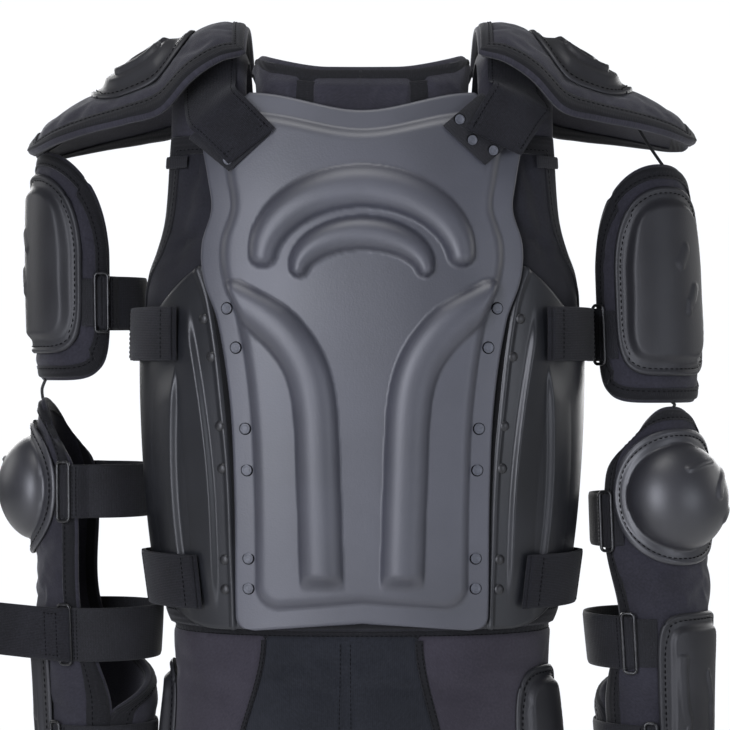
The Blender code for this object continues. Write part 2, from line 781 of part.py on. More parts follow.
def make_ring(name, side, sign, turn, z, seat, material):
    """A rectangular wire loop that lies on a strap: a tube round a rounded rectangle."""
    off = seat + arm_strap_wall + play + ring_wire
    half_tall = arm_strap_width / 2 + ring_margin
    half_wide = ring_width / 2
    data = bmesh.new()
    rings = []
    route = []
    for quarter, (cx, cz) in enumerate(((1, 1), (-1, 1), (-1, -1), (1, -1))):
        for angle in (math.pi / 2 * quarter, math.pi / 2 * (quarter + 1)):
            route.append((cx * (half_wide - ring_corner) + ring_corner * math.cos(angle),
                          cz * (half_tall - ring_corner) + ring_corner * math.sin(angle)))
    radius = arm_radius + off
    for i, (across, up) in enumerate(route):
        x0, z0 = route[i - 1]
        x1, z1 = route[(i + 1) % len(route)]
        length = math.hypot(x1 - x0, z1 - z0)
        side_x, side_z = (z1 - z0) / length, -(x1 - x0) / length
        section = []
        for k in range(wire_sides):
            phase = math.tau * k / wire_sides
            shift = ring_wire * math.cos(phase)
            lift = ring_wire * math.sin(phase)
            reach = math.degrees((across + side_x * shift) / radius)
            section.append(data.verts.new(arm_point(side, sign, turn + reach,
                                                    z + up + side_z * shift, off + lift)))
        rings.append(section)
    for i, section in enumerate(rings):
        following = rings[(i + 1) % len(rings)]
        for k in range(wire_sides):
            n = (k + 1) % wire_sides
            data.faces.new((section[k], section[n], following[n], following[k]))
    return finish_object(name, data, material)


def make_arm_strap(name, side, sign, middle, start, end, z, seat, material):
    """A strap round the arm from turn start to turn end. It rides over a pad at both ends,
    or on the sleeve all the way round."""

    def surface(a, b, off):
        turn = middle + start + (end - start) * (a + 1) / 2
        return arm_point(side, sign, turn, z + b * arm_strap_width / 2, off)

    def wall(a, b):
        near = min(a + 1, 1 - a) * abs(end - start) / 2
        on_sleeve = seat == sleeve_seat
        inner = seat if on_sleeve else seat * (1 - ease(near, strap_lap, strap_lap + ride_angle))
        return inner, inner + arm_strap_wall

    span = abs(end - start)
    columns = [-1 + 2 * share for share in
               (0, 12 / span, 20 / span, 28 / span)]
    columns += steps(8, columns[-1], -columns[-1])[1:-1] + [-c for c in reversed(columns)]
    patch(name, surface, columns, steps(1), wall, material)


def make_upper_arm(side, sign, pad_material, shell_material, webbing_material, wire_material):
    top = -arm_top - upper_pad_drop[side]
    height = upper_pad_height[side]
    middle_z = top - height / 2
    turn = upper_turn[side]

    def pad_surface(a, b, off):
        p, q = rounded(a, b, 2.2 if b > 0 else 6)
        return arm_point(side, sign, turn + p * upper_pad_angle, middle_z + q * height / 2, off)

    patch("upper_arm_pad_" + side, pad_surface, steps(8), steps(7),
          pad_offsets(0, pad_wall, 0.6), pad_material)

    shell_top = top - upper_shell_inset[0]
    shell_low = top - height + upper_shell_inset[1]

    def shell_surface(a, b, off):
        p, q = rounded(a, b, 2.4 if b > 0 else 5)
        z = (shell_top + shell_low) / 2 + q * (shell_top - shell_low) / 2
        return arm_point(side, sign, turn + p * upper_shell_angle, z, off)

    def shell_wall_of(a, b):
        inner = pad_wall + play
        dome = upper_shell_rise * (1 - ease(max(abs(a), abs(b)), 0.55, 0.85))
        return inner, inner + shell_wall + dome

    patch("upper_arm_shell_" + side, shell_surface, steps(7), steps(7), shell_wall_of, shell_material)

    z = top - upper_strap_drop[side]
    make_arm_strap("upper_arm_strap_" + side, side, sign, turn, -upper_pad_angle + strap_lap,
                   -360 + upper_pad_angle - strap_lap, z, upper_seat, webbing_material)
    make_ring("upper_arm_ring_" + side, side, sign, turn - upper_pad_angle + ring_lap, z, upper_seat,
              wire_material)


def lower_turn(side, share):
    """The guard's middle turns from the elbow's direction to the forearm's."""
    return elbow_turn[side] + (forearm_turn[side] - elbow_turn[side]) * ease(share, 0.35, 0.6)


def make_lower_arm(side, sign, pad_material, shell_material, webbing_material, wire_material):
    top = -arm_top - lower_pad_top[side]
    low = -arm_top - lower_pad_low
    height = top - low

    def pad_surface(a, b, off):
        share = (b + 1) / 2
        inner = look_up(lower_pad_edges, share, 1)
        outer = look_up(lower_pad_edges, share, 2)
        turn = lower_turn(side, share) - (inner + (outer - inner) * (a + 1) / 2)
        z = top - height * share
        z -= 26 * mm * (1 - ease(share, 0.0, 0.2)) * abs(a) ** 2.5
        return arm_point(side, sign, turn, z, off)

    rows = [2 * s - 1 for s in (0, 0.06, 0.14, 0.25, 0.40, 0.56, 0.65, 0.72, 0.77, 0.82, 1)]
    patch("forearm_pad_" + side, pad_surface, steps(12), rows,
          pad_offsets(0, pad_wall, 0.6), pad_material)

    cup_z = -arm_top - cup_drop[side]

    def cup_surface(a, b, off):
        p, q = rounded(a, b, 2.15)
        return arm_point(side, sign, elbow_turn[side] + p * cup_angle, cup_z + q * cup_half_height, off)

    def cup_lift(a, b):
        p, q = rounded(a, b, 2.15)
        reach = min(math.hypot(p, q), 1.0)
        return cup_rise * max(1 - (reach / cup_rim_share) ** 2, 0.0) ** 0.62

    def cup_wall(a, b):
        lift = cup_lift(a, b)
        inner = pad_wall + loose
        return inner + lift * 0.93, inner + shell_wall + lift

    grid = [-1, -0.80, -0.58, -0.20, 0.20, 0.58, 0.80, 1]
    patch("elbow_cup_" + side, cup_surface, grid, grid, cup_wall, shell_material)

    shell_top = -arm_top - forearm_shell_top
    shell_low = shell_top - forearm_shell_height

    def shell_surface(a, b, off):
        p, q = rounded(a, b, 5)
        z = (shell_top + shell_low) / 2 + q * forearm_shell_height / 2
        return arm_point(side, sign, forearm_turn[side] + p * forearm_shell_angle, z, off)

    def shell_wall_of(a, b):
        inner = pad_wall + play
        dome = upper_shell_rise * 0.7 * (1 - ease(max(abs(a), abs(b)), 0.5, 0.8))
        return inner, inner + shell_wall + dome

    patch("forearm_shell_" + side, shell_surface, steps(6), steps(5), shell_wall_of, shell_material)

    straps = (("elbow", -arm_top - elbow_strap_drop[side], elbow_turn[side], elbow_seat),
              ("forearm", -arm_top - forearm_strap_drop[side], forearm_turn[side], sleeve_seat))
    for name, z, turn, seat in straps:
        make_arm_strap(name + "_strap_" + side, side, sign, turn, -lower_pad_angle + strap_lap,
                       -360 + lower_pad_angle - strap_lap, z, seat, webbing_material)
        make_ring(name + "_ring_" + side, side, sign, turn - lower_pad_angle + ring_lap, z, seat,
                  wire_material)
    wrist_z = -arm_top - wrist_strap_drop
    clear_turn = forearm_shell_angle + 3
    make_arm_strap("wrist_strap_" + side, side, sign, forearm_turn[side], -clear_turn, -360 + clear_turn,
                   wrist_z, sleeve_seat, webbing_material)
    make_ring("wrist_ring_" + side, side, sign, forearm_turn[side] - clear_turn - ring_lap, wrist_z,
              sleeve_seat, wire_material)


def make_strap_end(side, sign, material):
    """The free end of the forearm strap: over the ring and then straight out to the side."""
    z = -arm_top - forearm_strap_drop[side]
    ring_turn = forearm_turn[side] - lower_pad_angle + ring_lap
    over = sleeve_seat + arm_strap_wall + 2 * ring_wire + 2 * play
    turns = [ring_turn - free_end_lap, ring_turn, ring_turn + free_end_lap]

    def surface(b, a, off):
        up = a * arm_strap_width / 2
        if b < len(turns):
            return arm_point(side, sign, turns[b], z + up, over + off)
        last = arm_point(side, sign, turns[-1], z + up, over + off)
        ahead = math.radians(turns[-1])
        return last + Vector((sign * math.cos(ahead), math.sin(ahead), free_end_rise)) * free_end_length

    patch("forearm_strap_end_" + side, surface, range(len(turns) + 1), steps(1),
          plain_wall(0, arm_strap_wall), material)


def make_cord(name, start, end, bow, material):
    """A short elastic cord that bows outwards between two guards."""
    curve = bpy.data.curves.new(name, "CURVE")
    curve.dimensions = "3D"
    curve.bevel_depth = cord_radius
    curve.bevel_resolution = 2
    curve.use_fill_caps = True
    points = smooth_route([start, start.lerp(end, 0.5) + bow, end], 5)
    line = curve.splines.new("POLY")
    line.points.add(len(points) - 1)
    for spot, point in zip(line.points, points):
        spot.co = (*point, 1.0)
    curve.materials.append(material)
    thing = bpy.data.objects.new(name, curve)
    bpy.context.scene.collection.objects.link(thing)


def make_cords(side, sign, material):
    clear = cord_radius + gap
    top_z = -arm_top - upper_pad_drop[side]
    turn = upper_turn[side]
    pad_top = arm_point(side, sign, turn, top_z + cord_radius, pad_wall / 2)
    tip = cap_point(side, cord_end, 0.0, -clear)
    tip = Vector((sign * tip.x, tip.y, tip.z))
    make_cord("shoulder_cord_" + side, pad_top, tip, Vector((0, 0, -2 * mm)), material)
    pad_low = arm_point(side, sign, turn, top_z - upper_pad_height[side] - clear, pad_wall / 2)
    elbow = arm_point(side, sign, elbow_turn[side], -arm_top - lower_pad_top[side] + clear, pad_wall / 2)
    make_cord("elbow_cord_" + side, pad_low, elbow, Vector((sign * 2 * mm, 0, 0)), material)


def groin_edge(depth):
    """Half angle of the middle panel at a depth below the belt: it widens, then narrows to its foot."""
    share = depth / groin_length
    return groin_angle * (1 - groin_waist * (1 - ease(share, 0.0, 0.55))) * (1 - 0.35 * ease(share, 0.6, 1.0))


def make_hip_guard(pad_material, panel_material, shell_material):
    belt_low = -torso_length - belt_height + belt_lap
    inner = -belt_play - belt_wall
    columns = [(0, a) for a in steps(vest_spans[0])] + [(1, a) for a in steps(vest_spans[1])]

    def belt_surface(column, z, off):
        back, a = column
        edge = look_up(vest_sides, -z / torso_length, 1 + back)
        return torso_point(180 * back + edge * a, z, off)

    patch("waist_belt", belt_surface, columns, [belt_low, -torso_length, belt_low + belt_height],
          plain_wall(inner, belt_wall), pad_material, ring=True)

    panel_top = belt_low - gap

    def groin_surface(a, b, off):
        share = (1 - b) / 2
        depth = groin_length * share * (1 - 0.25 * abs(a) ** 2.5 * share)
        return torso_point(groin_edge(depth) * a - hip_turn, panel_top - depth, off)

    patch("groin_panel", groin_surface, steps(7), steps(6), plain_wall(inner, panel_wall), panel_material)
    seam = 0.9

    for side, sign in (("left", -1), ("right", 1)):
        def thigh_surface(a, b, off):
            share = (1 - b) / 2
            depth = thigh_length * share * (1 - 0.12 * abs(a) ** 3 * share)
            first = groin_edge(depth) + seam + 4 * ease(share, 0.45, 1.0)
            angle = first + (thigh_angle - first - 8 * ease(share, 0.5, 1.0)) * (a + 1) / 2
            return torso_point(sign * angle - hip_turn, panel_top - depth, off)

        patch("thigh_panel_" + side, thigh_surface, steps(6), steps(6),
              plain_wall(inner, panel_wall), pad_material)

        def shell_surface(a, b, off):
            p, q = rounded(a, b, 3.5)
            angle = sum(hip_shell_angles) / 2 + p * (hip_shell_angles[1] - hip_shell_angles[0]) / 2
            z = panel_top - hip_shell_drop - hip_shell_height * (1 - q) / 2
            return torso_point(sign * angle - hip_turn, z, off)

        def shell_wall_of(a, b):
            base = inner + panel_wall + loose
            dome = hip_shell_rise * (1 - ease(max(abs(a), abs(b)), 0.5, 0.85))
            return base, base + shell_wall + dome

        patch("hip_shell_" + side, shell_surface, steps(5), steps(6), shell_wall_of, shell_material)


def main():
    clear_scene()
    padding = make_material("nylon_padding", (0.030, 0.029, 0.033), 0.85)
    knit = make_material("knit_panel", (0.018, 0.018, 0.020), 0.9)
    grey_plate = make_material("moulded_grey_plate", (0.110, 0.112, 0.122), 0.45)
    black_plate = make_material("moulded_black_plate", (0.022, 0.022, 0.024), 0.42)
    moulded = make_material("moulded_shell", (0.028, 0.028, 0.029), 0.38)
    webbing_material = make_material("webbing", (0.012, 0.012, 0.013), 0.9)
    wire = make_material("black_wire", (0.02, 0.02, 0.02), 0.35, 1.0)
    elastic = make_material("elastic_cord", (0.012, 0.012, 0.013), 0.8)

    make_vest(padding)
    make_collar(padding)
    make_chest_plate(grey_plate)
    make_back_plate(grey_plate)
    for side, sign in (("left", -1), ("right", 1)):
        make_yokes(side, sign, padding)
        make_side_plate(side, sign, black_plate)
        make_shoulder_webbing(side, sign, webbing_material)
        make_side_straps(side, sign, webbing_material)
        make_cap(side, sign, padding, moulded)
        make_upper_arm(side, sign, padding, moulded, webbing_material, wire)
        make_lower_arm(side, sign, padding, moulded, webbing_material, wire)
        make_cords(side, sign, elastic)
    make_strap_end("left", -1, webbing_material)
    make_hip_guard(padding, knit, moulded)


main()
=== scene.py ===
import math

import bmesh
import bpy
import numpy as np
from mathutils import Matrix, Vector


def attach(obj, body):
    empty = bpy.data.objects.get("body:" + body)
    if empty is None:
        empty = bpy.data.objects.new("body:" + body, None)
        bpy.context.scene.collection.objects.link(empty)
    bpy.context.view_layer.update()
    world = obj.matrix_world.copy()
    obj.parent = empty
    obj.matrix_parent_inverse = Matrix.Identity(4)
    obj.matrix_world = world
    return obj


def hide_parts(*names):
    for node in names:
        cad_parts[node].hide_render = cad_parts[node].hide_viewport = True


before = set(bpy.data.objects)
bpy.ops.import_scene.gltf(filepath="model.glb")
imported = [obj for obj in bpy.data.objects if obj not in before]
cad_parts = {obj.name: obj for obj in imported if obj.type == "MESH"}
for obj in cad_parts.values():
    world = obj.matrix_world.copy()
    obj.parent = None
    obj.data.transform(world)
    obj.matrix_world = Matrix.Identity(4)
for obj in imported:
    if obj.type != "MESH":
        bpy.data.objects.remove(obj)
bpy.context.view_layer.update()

mm = 0.001
sides = {"left": -1, "right": 1}
print("stage: frame loaded, nodes", len(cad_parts))

# Clearances between pieces that lie on each other, as the solids have them.
clear = {"gap": 0.3 * mm, "play": 0.8 * mm, "loose": 1.6 * mm}

# Torso form: inner face of the vest and of the hip guard.
torso = {
    "length": 505 * mm, "halfWidth": 195 * mm, "halfDepth": 122 * mm, "power": 2.5,
    "sections": (
        # height, width, depth
        (0.00, 0.920, 0.700), (0.12, 0.950, 0.840), (0.25, 0.975, 0.950), (0.42, 0.998, 1.000),
        (0.60, 1.000, 0.985), (0.80, 0.970, 0.930), (1.00, 0.905, 0.870), (1.10, 0.885, 0.875),
        (1.22, 0.905, 0.900), (1.36, 0.920, 0.920), (1.60, 0.940, 0.930),
    ),
}

# Arms: straight middle lines, sideways and backwards at the top and at the wrist.
arm = {
    "top": 60 * mm, "length": 600 * mm, "radius": 47 * mm, "swing": (50 * mm, 12 * mm),
    "lines": {"left": (257 * mm, 247 * mm), "right": (257 * mm, 275 * mm)},
    # along, radius
    "girths": ((0.00, 1.00), (0.35, 1.00), (0.54, 1.05), (0.72, 1.03), (0.85, 0.93), (1.00, 0.84)),
}


# Smooth value between the rows of a table, for arrays
def lookUp(table, x, column=1):
    xs = np.array([row[0] for row in table], float)
    ys = np.array([row[column] for row in table], float)
    x = np.clip(np.asarray(x, float), xs[0], xs[-1])
    i = np.clip(np.searchsorted(xs, x, side="left") - 1, 0, len(xs) - 2)
    before, after = np.maximum(i - 1, 0), np.minimum(i + 2, len(xs) - 1)
    x0, x1, y0, y1 = xs[i], xs[i + 1], ys[i], ys[i + 1]
    span = x1 - x0
    slope0 = (y1 - ys[before]) / (x1 - xs[before])
    slope1 = (ys[after] - y0) / (xs[after] - x0)
    t = (x - x0) / span
    return (y0 * (2 * t ** 3 - 3 * t ** 2 + 1) + slope0 * span * (t ** 3 - 2 * t ** 2 + t)
            + y1 * (3 * t ** 2 - 2 * t ** 3) + slope1 * span * (t ** 3 - t ** 2))


def ease(x, start, end):
    t = np.clip((np.asarray(x, float) - start) / (end - start), 0, 1)
    return t * t * (3 - 2 * t)


# 1 at the middle, 0 at half away from it, smooth
def bump(x, middle, half):
    return 1 - ease(np.abs(np.asarray(x, float) - middle), 0, half)


def rounded(a, b, power):
    reach = np.maximum(np.abs(a), np.abs(b))
    safe = np.where(reach == 0, 1, reach)
    scale = (np.abs(a / safe) ** power + np.abs(b / safe) ** power + (reach == 0)) ** (-1 / power)
    return a * scale, b * scale


# Square corners below the middle of a patch, rounder ones above it
def softCorners(a, b, below, above):
    mix = ease(b, 0.0, 0.25)
    return [p + (r - p) * mix for p, r in zip(rounded(a, b, below), rounded(a, b, above))]


# Distance from the middle of a patch, 1 at its edge, with soft corners
def squareReach(a, b, power=8):
    return np.minimum((np.abs(a) ** power + np.abs(b) ** power) ** (1 / power), 1)


# 0 at a patch's edge, 1 from the second share inwards
def awayFromEdge(a, b, first, second):
    return ease(1 - np.maximum(np.abs(a), np.abs(b)), first, second)


# Shares across and along a patch
def patchGrid(form, lowA=-1, lowB=-1):
    return np.meshgrid(np.linspace(lowA, 1, form["columns"]), np.linspace(lowB, 1, form["rows"]))


def spots(x, y, z):
    return np.stack(np.broadcast_arrays(x, y, z), axis=-1)


def flip(points, sign):
    return points * np.array((sign, 1, 1))


# Distance from the middle of a squared oval to its edge
def ovalReach(side, ahead, halfWidth, halfDepth, power):
    return (np.abs(side / halfWidth) ** power + np.abs(ahead / halfDepth) ** power) ** (-1 / power)


def torsoHalves(z):
    share = -z / torso["length"]
    return (torso["halfWidth"] * lookUp(torso["sections"], share, 1),
            torso["halfDepth"] * lookUp(torso["sections"], share, 2))


def torsoPoint(angle, z, off):
    angle, z, off = (np.asarray(v, float) for v in (angle, z, off))
    halfWidth, halfDepth = torsoHalves(z)
    side, front = np.sin(np.radians(angle)), np.cos(np.radians(angle))
    power = torso["power"]
    reach = ovalReach(side, front, halfWidth, halfDepth, power)
    across, along = reach * side, reach * front
    nx = np.sign(across) * np.abs(across / halfWidth) ** (power - 1) / halfWidth
    ny = np.sign(along) * np.abs(along / halfDepth) ** (power - 1) / halfDepth
    size = np.hypot(nx, ny)
    return spots(across + off * nx / size, -along - off * ny / size, z)


def torsoFront(x, z, off):
    x, z = np.asarray(x, float), np.asarray(z, float)
    halfWidth, halfDepth = torsoHalves(z)
    along = halfDepth * (1 - np.abs(x / halfWidth) ** torso["power"]) ** (1 / torso["power"])
    return torsoPoint(np.degrees(np.arctan2(x, along)), z, off)


def torsoBack(x, z, off):
    return torsoFront(x, z, off) * np.array((1, -1, 1))


def armPoint(side, turn, z, off):
    turn, z, off = (np.asarray(v, float) for v in (turn, z, off))
    share = (-z - arm["top"]) / arm["length"]
    line, swing, sign = arm["lines"][side], arm["swing"], sides[side]
    radius = arm["radius"] * lookUp(arm["girths"], share) + off
    angle = np.radians(turn)
    return spots(sign * (line[0] + (line[1] - line[0]) * share + radius * np.sin(angle)),
                 swing[0] + (swing[1] - swing[0]) * share - radius * np.cos(angle), z)


def linkObject(name, data):
    thing = bpy.data.objects.new(name, data)
    bpy.context.scene.collection.objects.link(thing)
    return thing


# A mesh with outward faces. uv holds one pair in metres for each vertex
def makeObject(name, verts, faces, material, uv=None, smoothAngle=45):
    mesh = bpy.data.meshes.new(name)
    mesh.from_pydata([tuple(v) for v in verts], [], faces)
    data = bmesh.new()
    data.from_mesh(mesh)
    bmesh.ops.recalc_face_normals(data, faces=data.faces)
    data.to_mesh(mesh)
    data.free()
    if uv is not None:
        layer = mesh.uv_layers.new(name="cloth")
        index = np.zeros(len(mesh.loops), np.int32)
        mesh.loops.foreach_get("vertex_index", index)
        layer.data.foreach_set("uv", np.asarray(uv, np.float32)[index].ravel())
    mesh.materials.append(material)
    mesh.shade_smooth()
    if smoothAngle:
        mesh.set_sharp_from_angle(angle=math.radians(smoothAngle))
    return linkObject(name, mesh)


# Lengths along the two directions of a grid, in metres, for weaves that follow the cloth
def arcUv(points):
    across = np.linalg.norm(np.diff(points, axis=1), axis=2)
    along = np.linalg.norm(np.diff(points, axis=0), axis=2)
    u = np.concatenate([np.zeros((len(points), 1)), np.cumsum(across, axis=1)], axis=1)
    v = np.concatenate([np.zeros((1, points.shape[1])), np.cumsum(along, axis=0)], axis=0)
    u -= u[:, u.shape[1] // 2][:, None]
    return np.stack([u, v], axis=-1)


# A closed wall between two grids of points (rows, columns, 3), with a rounded edge
def wallMesh(name, inner, outer, material, ring=False, smoothAngle=45):
    lip, lipBulge = 3, 0.5
    rows, columns = outer.shape[:2]
    size = rows * columns
    flatIn, flatOut = inner.reshape(-1, 3), outer.reshape(-1, 3)
    uvGrid = arcUv(outer).reshape(-1, 2)
    index = np.arange(size).reshape(rows, columns)
    j, i = np.meshgrid(np.arange(rows - 1), np.arange(columns if ring else columns - 1), indexing="ij")
    k = (i + 1) % columns
    quads = np.stack([index[j, i], index[j, k], index[j + 1, k], index[j + 1, i]], axis=-1).reshape(-1, 4)
    faces = (quads + size).tolist() + quads[:, ::-1].tolist()
    if ring:
        loops = [(index[0], index[1]), (index[-1], index[-2])]
    else:
        edge = np.array([*index[0], *index[1:, -1], *index[-1, -2::-1], *index[-2:0:-1, 0]])
        near = np.array([*index[1], *index[1:, -2], *index[-2, -2::-1], *index[-2:0:-1, 1]])
        near[0], near[columns - 1] = index[1, 1], index[1, -2]
        loops = [(edge, near)]
    verts, uvs, total = [flatIn, flatOut], [uvGrid, uvGrid], 2 * size
    for edge, near in loops:
        out = (flatIn[edge] + flatOut[edge]) / 2 - (flatIn[near] + flatOut[near]) / 2
        out /= np.maximum(np.linalg.norm(out, axis=1), 1e-9)[:, None]
        thick = np.linalg.norm(flatOut[edge] - flatIn[edge], axis=1)[:, None]
        chain = [edge]
        for step in range(1, lip + 1):
            t = step / (lip + 1)
            bulge = lipBulge * thick * math.sqrt(max(1 - (2 * t - 1) ** 2, 0))
            verts.append(flatIn[edge] * (1 - t) + flatOut[edge] * t + out * bulge)
            uvs.append(uvGrid[edge])
            chain.append(np.arange(total, total + len(edge)))
            total += len(edge)
        chain.append(edge + size)
        for first, second in zip(chain, chain[1:]):
            faces += np.stack([first, np.roll(first, -1), np.roll(second, -1), second], axis=-1).tolist()
    return makeObject(name, np.concatenate(verts), faces, material, np.concatenate(uvs), smoothAngle)


# A round tube along points, for wire and cord
def tubeMesh(name, centre, radius, material, closed=False):
    count = 12
    points = [Vector(p) for p in centre]
    total = len(points)
    verts, uv, faces = [], [], []
    normal, along = None, 0.0
    for n, point in enumerate(points):
        ahead = points[(n + 1) % total] if closed or n < total - 1 else point
        behind = points[n - 1] if closed or n > 0 else point
        tangent = (ahead - behind).normalized()
        if normal is None:
            normal = tangent.orthogonal().normalized()
        normal = (normal - tangent * normal.dot(tangent)).normalized()
        side = tangent.cross(normal)
        for c in range(count):
            angle = math.tau * c / count
            verts.append(point + (normal * math.cos(angle) + side * math.sin(angle)) * radius)
            uv.append((c / count * math.tau * radius, along))
        along += (ahead - point).length
    for n in range(total if closed else total - 1):
        m = (n + 1) % total
        for c in range(count):
            d = (c + 1) % count
            faces.append((n * count + c, n * count + d, m * count + d, m * count + c))
    if not closed:
        faces += [tuple(range(count)), tuple(range((total - 1) * count, total * count))]
    return makeObject(name, verts, faces, material, uv)


# Points on a smooth curve through the given ones
def smoothRoute(points, count):
    points = [np.asarray(p, float) for p in points]
    last = len(points) - 1
    result = []
    for n in range(count + 1):
        t = last * n / count
        i = min(int(t), last - 1)
        f = t - i
        p0, p1 = points[max(i - 1, 0)], points[i]
        p2, p3 = points[i + 1], points[min(i + 2, last)]
        result.append(0.5 * (2 * p1 + (p2 - p0) * f + (2 * p0 - 5 * p1 + 4 * p2 - p3) * f ** 2
                             + (3 * p1 - p0 - 3 * p2 + p3) * f ** 3))
    return np.array(result)


# Height share of a ridge along a route: 1 on its middle, 0 from its edge outwards
def ridgeShare(x, z, route, widths, power=2.3):
    best = np.full(np.shape(x), 9.0)
    route = np.asarray(route, float)
    for p, q, w0, w1 in zip(route, route[1:], widths, widths[1:]):
        d = q - p
        t = np.clip(((x - p[0]) * d[0] + (z - p[1]) * d[1]) / (d @ d), 0, 1)
        distance = np.hypot(x - p[0] - t * d[0], z - p[1] - t * d[1])
        best = np.minimum(best, distance / (w0 + (w1 - w0) * t))
    return np.clip(1 - best ** power, 0, 1) ** 0.7


# The highest of several raised marks, each a line of (a, b) points and its half width
def stroke(a, b, *marks):
    heights = [ridgeShare(a, b, line, [half] * len(line), 2.2) for line, half in marks]
    return np.maximum.reduce(heights)


# Every finished piece rides on the body and hides the solids that it stands for
def settle(piece, slotName, *nodes):
    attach(piece, "root")
    if nodes:
        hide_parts(*nodes)
    return piece


# sRGB hex to the linear colour that sockets take
def hexColour(text):
    parts = [int(text[i:i + 2], 16) / 255 for i in (1, 3, 5)]
    linear = [c / 12.92 if c <= 0.04045 else ((c + 0.055) / 1.055) ** 2.4 for c in parts]
    return (*linear, 1.0)


def fillSockets(tree, node, sockets):
    for key, value in sockets.items():
        socket = node.inputs[key]
        if isinstance(value, bpy.types.NodeSocket):
            tree.links.new(value, socket)
        else:
            socket.default_value = value


# Adds a node, sets it, and links or fills its sockets
def addNode(tree, kind, sockets=None, **settings):
    node = tree.nodes.new(kind)
    for key, value in settings.items():
        setattr(node, key, value)
    fillSockets(tree, node, sockets or {})
    return node


def startMaterial(name, roughness, specular=0.5, sheen=0.0):
    material = bpy.data.materials.new(name)
    material.use_nodes = True
    tree = material.node_tree
    shader = tree.nodes["Principled BSDF"]
    fillSockets(tree, shader, {"Roughness": roughness, "Specular IOR Level": specular, "Sheen Weight": sheen,
                               "Sheen Roughness": 0.5})
    return material, tree, shader


def twoTone(tree, low, high, factor, start=0.35, end=0.65):
    ramp = addNode(tree, "ShaderNodeMapRange", {"Value": factor, "From Min": start, "From Max": end})
    mix = addNode(tree, "ShaderNodeMix", {"Factor": ramp.outputs["Result"]}, data_type="RGBA")
    mix.inputs["A"].default_value = hexColour(low)
    mix.inputs["B"].default_value = hexColour(high)
    return mix.outputs["Result"]


# Two reliefs, the finer one on top
def layBumps(tree, shader, distances, strengths, heights):
    below = {}
    for distance, strength, height in zip(distances, strengths, heights):
        relief = addNode(tree, "ShaderNodeBump",
                         {"Height": height, "Distance": distance, "Strength": strength, **below})
        below = {"Normal": relief.outputs["Normal"]}
    fillSockets(tree, shader, below)


# Moulded plastic: a fine even grain, faint flow clouds in colour and gloss
def moulded(name, low, high, roughness, grainSize, grainDepth, specular=0.5):
    material, tree, shader = startMaterial(name, roughness, specular)
    where = addNode(tree, "ShaderNodeTexCoord").outputs["Object"]
    cloud = addNode(tree, "ShaderNodeTexNoise", {"Vector": where, "Scale": 1 / (90 * mm), "Detail": 4.0})
    grain = addNode(tree, "ShaderNodeTexVoronoi", {"Vector": where, "Scale": 1 / grainSize})
    fine = addNode(tree, "ShaderNodeTexNoise", {"Vector": where, "Scale": 1 / (grainSize * 0.6),
                                                "Detail": 2.0})
    gloss = addNode(tree, "ShaderNodeMapRange", {"Value": cloud.outputs["Fac"], "To Min": roughness - 0.05,
                                                 "To Max": roughness + 0.06})
    fillSockets(tree, shader, {"Base Color": twoTone(tree, low, high, cloud.outputs["Fac"]),
                               "Roughness": gloss.outputs["Result"]})
    layBumps(tree, shader, (grainDepth, grainDepth), (0.5, 0.4),
             (grain.outputs["Distance"], fine.outputs["Fac"]))
    return material


# Woven cloth on the piece's own map: warp and weft ribs, worn clouds, and a soft sheen
def woven(name, low, high, pitchAcross, pitchAlong, depth, roughness=0.85, sheen=0.15):
    material, tree, shader = startMaterial(name, roughness, 0.25, sheen)
    uv = addNode(tree, "ShaderNodeUVMap", uv_map="cloth").outputs["UV"]
    where = addNode(tree, "ShaderNodeTexCoord").outputs["Object"]
    cloud = addNode(tree, "ShaderNodeTexNoise", {"Vector": where, "Scale": 1 / (60 * mm), "Detail": 6.0,
                                                 "Roughness": 0.6})
    fuzz = addNode(tree, "ShaderNodeTexNoise", {"Vector": uv, "Scale": 1 / (1.4 * mm), "Detail": 3.0})
    speckle = addNode(tree, "ShaderNodeTexNoise", {"Vector": uv, "Scale": 1 / (2.4 * mm), "Detail": 2.0})
    # A Wave texture repeats every pi/10 of a unit at scale 1, so a pitch p takes scale pi/(10 p).
    warp, weft = (addNode(tree, "ShaderNodeTexWave", {"Vector": uv, "Scale": math.pi / (10 * pitch),
                                                      "Distortion": 0.4, "Detail": 1.0}, bands_direction=way)
                  for pitch, way in ((pitchAcross, "X"), (pitchAlong, "Y")))
    mesh = addNode(tree, "ShaderNodeMath", {0: warp.outputs["Fac"], 1: weft.outputs["Fac"]},
                   operation="MULTIPLY")
    worn = addNode(tree, "ShaderNodeMath", {0: mesh.outputs[0], 1: 0.30, 2: cloud.outputs["Fac"]},
                   operation="MULTIPLY_ADD")
    toned = addNode(tree, "ShaderNodeMath", {0: speckle.outputs["Fac"], 1: 0.9, 2: worn.outputs[0]},
                    operation="MULTIPLY_ADD")
    fillSockets(tree, shader, {"Base Color": twoTone(tree, low, high, toned.outputs[0], 0.80, 1.40)})
    layBumps(tree, shader, (depth, depth * 0.7), (0.8, 0.5), (mesh.outputs[0], fuzz.outputs["Fac"]))
    return material


# Satin grey ABS sheet, pressed over a form: soft broad highlights and a barely visible grain.
plateGrey = moulded("abs_sheet_grey_pressed", "#35363e", "#3e3f48", 0.50, 2.0 * mm, 0.10 * mm, 0.9)
# Black ABS, pressed: the same finish, darker, so that only its ribs catch the light.
plateBlack = moulded("abs_sheet_black_pressed", "#17181b", "#1f2024", 0.38, 1.6 * mm, 0.06 * mm, 0.5)
# Moulded EVA faced with a leather grain: deep black with a broken, waxy gloss.
shellBlack = moulded("eva_moulded_leather_grain", "#1f1f22", "#2a2a2d", 0.50, 1.9 * mm, 0.10 * mm, 0.42)
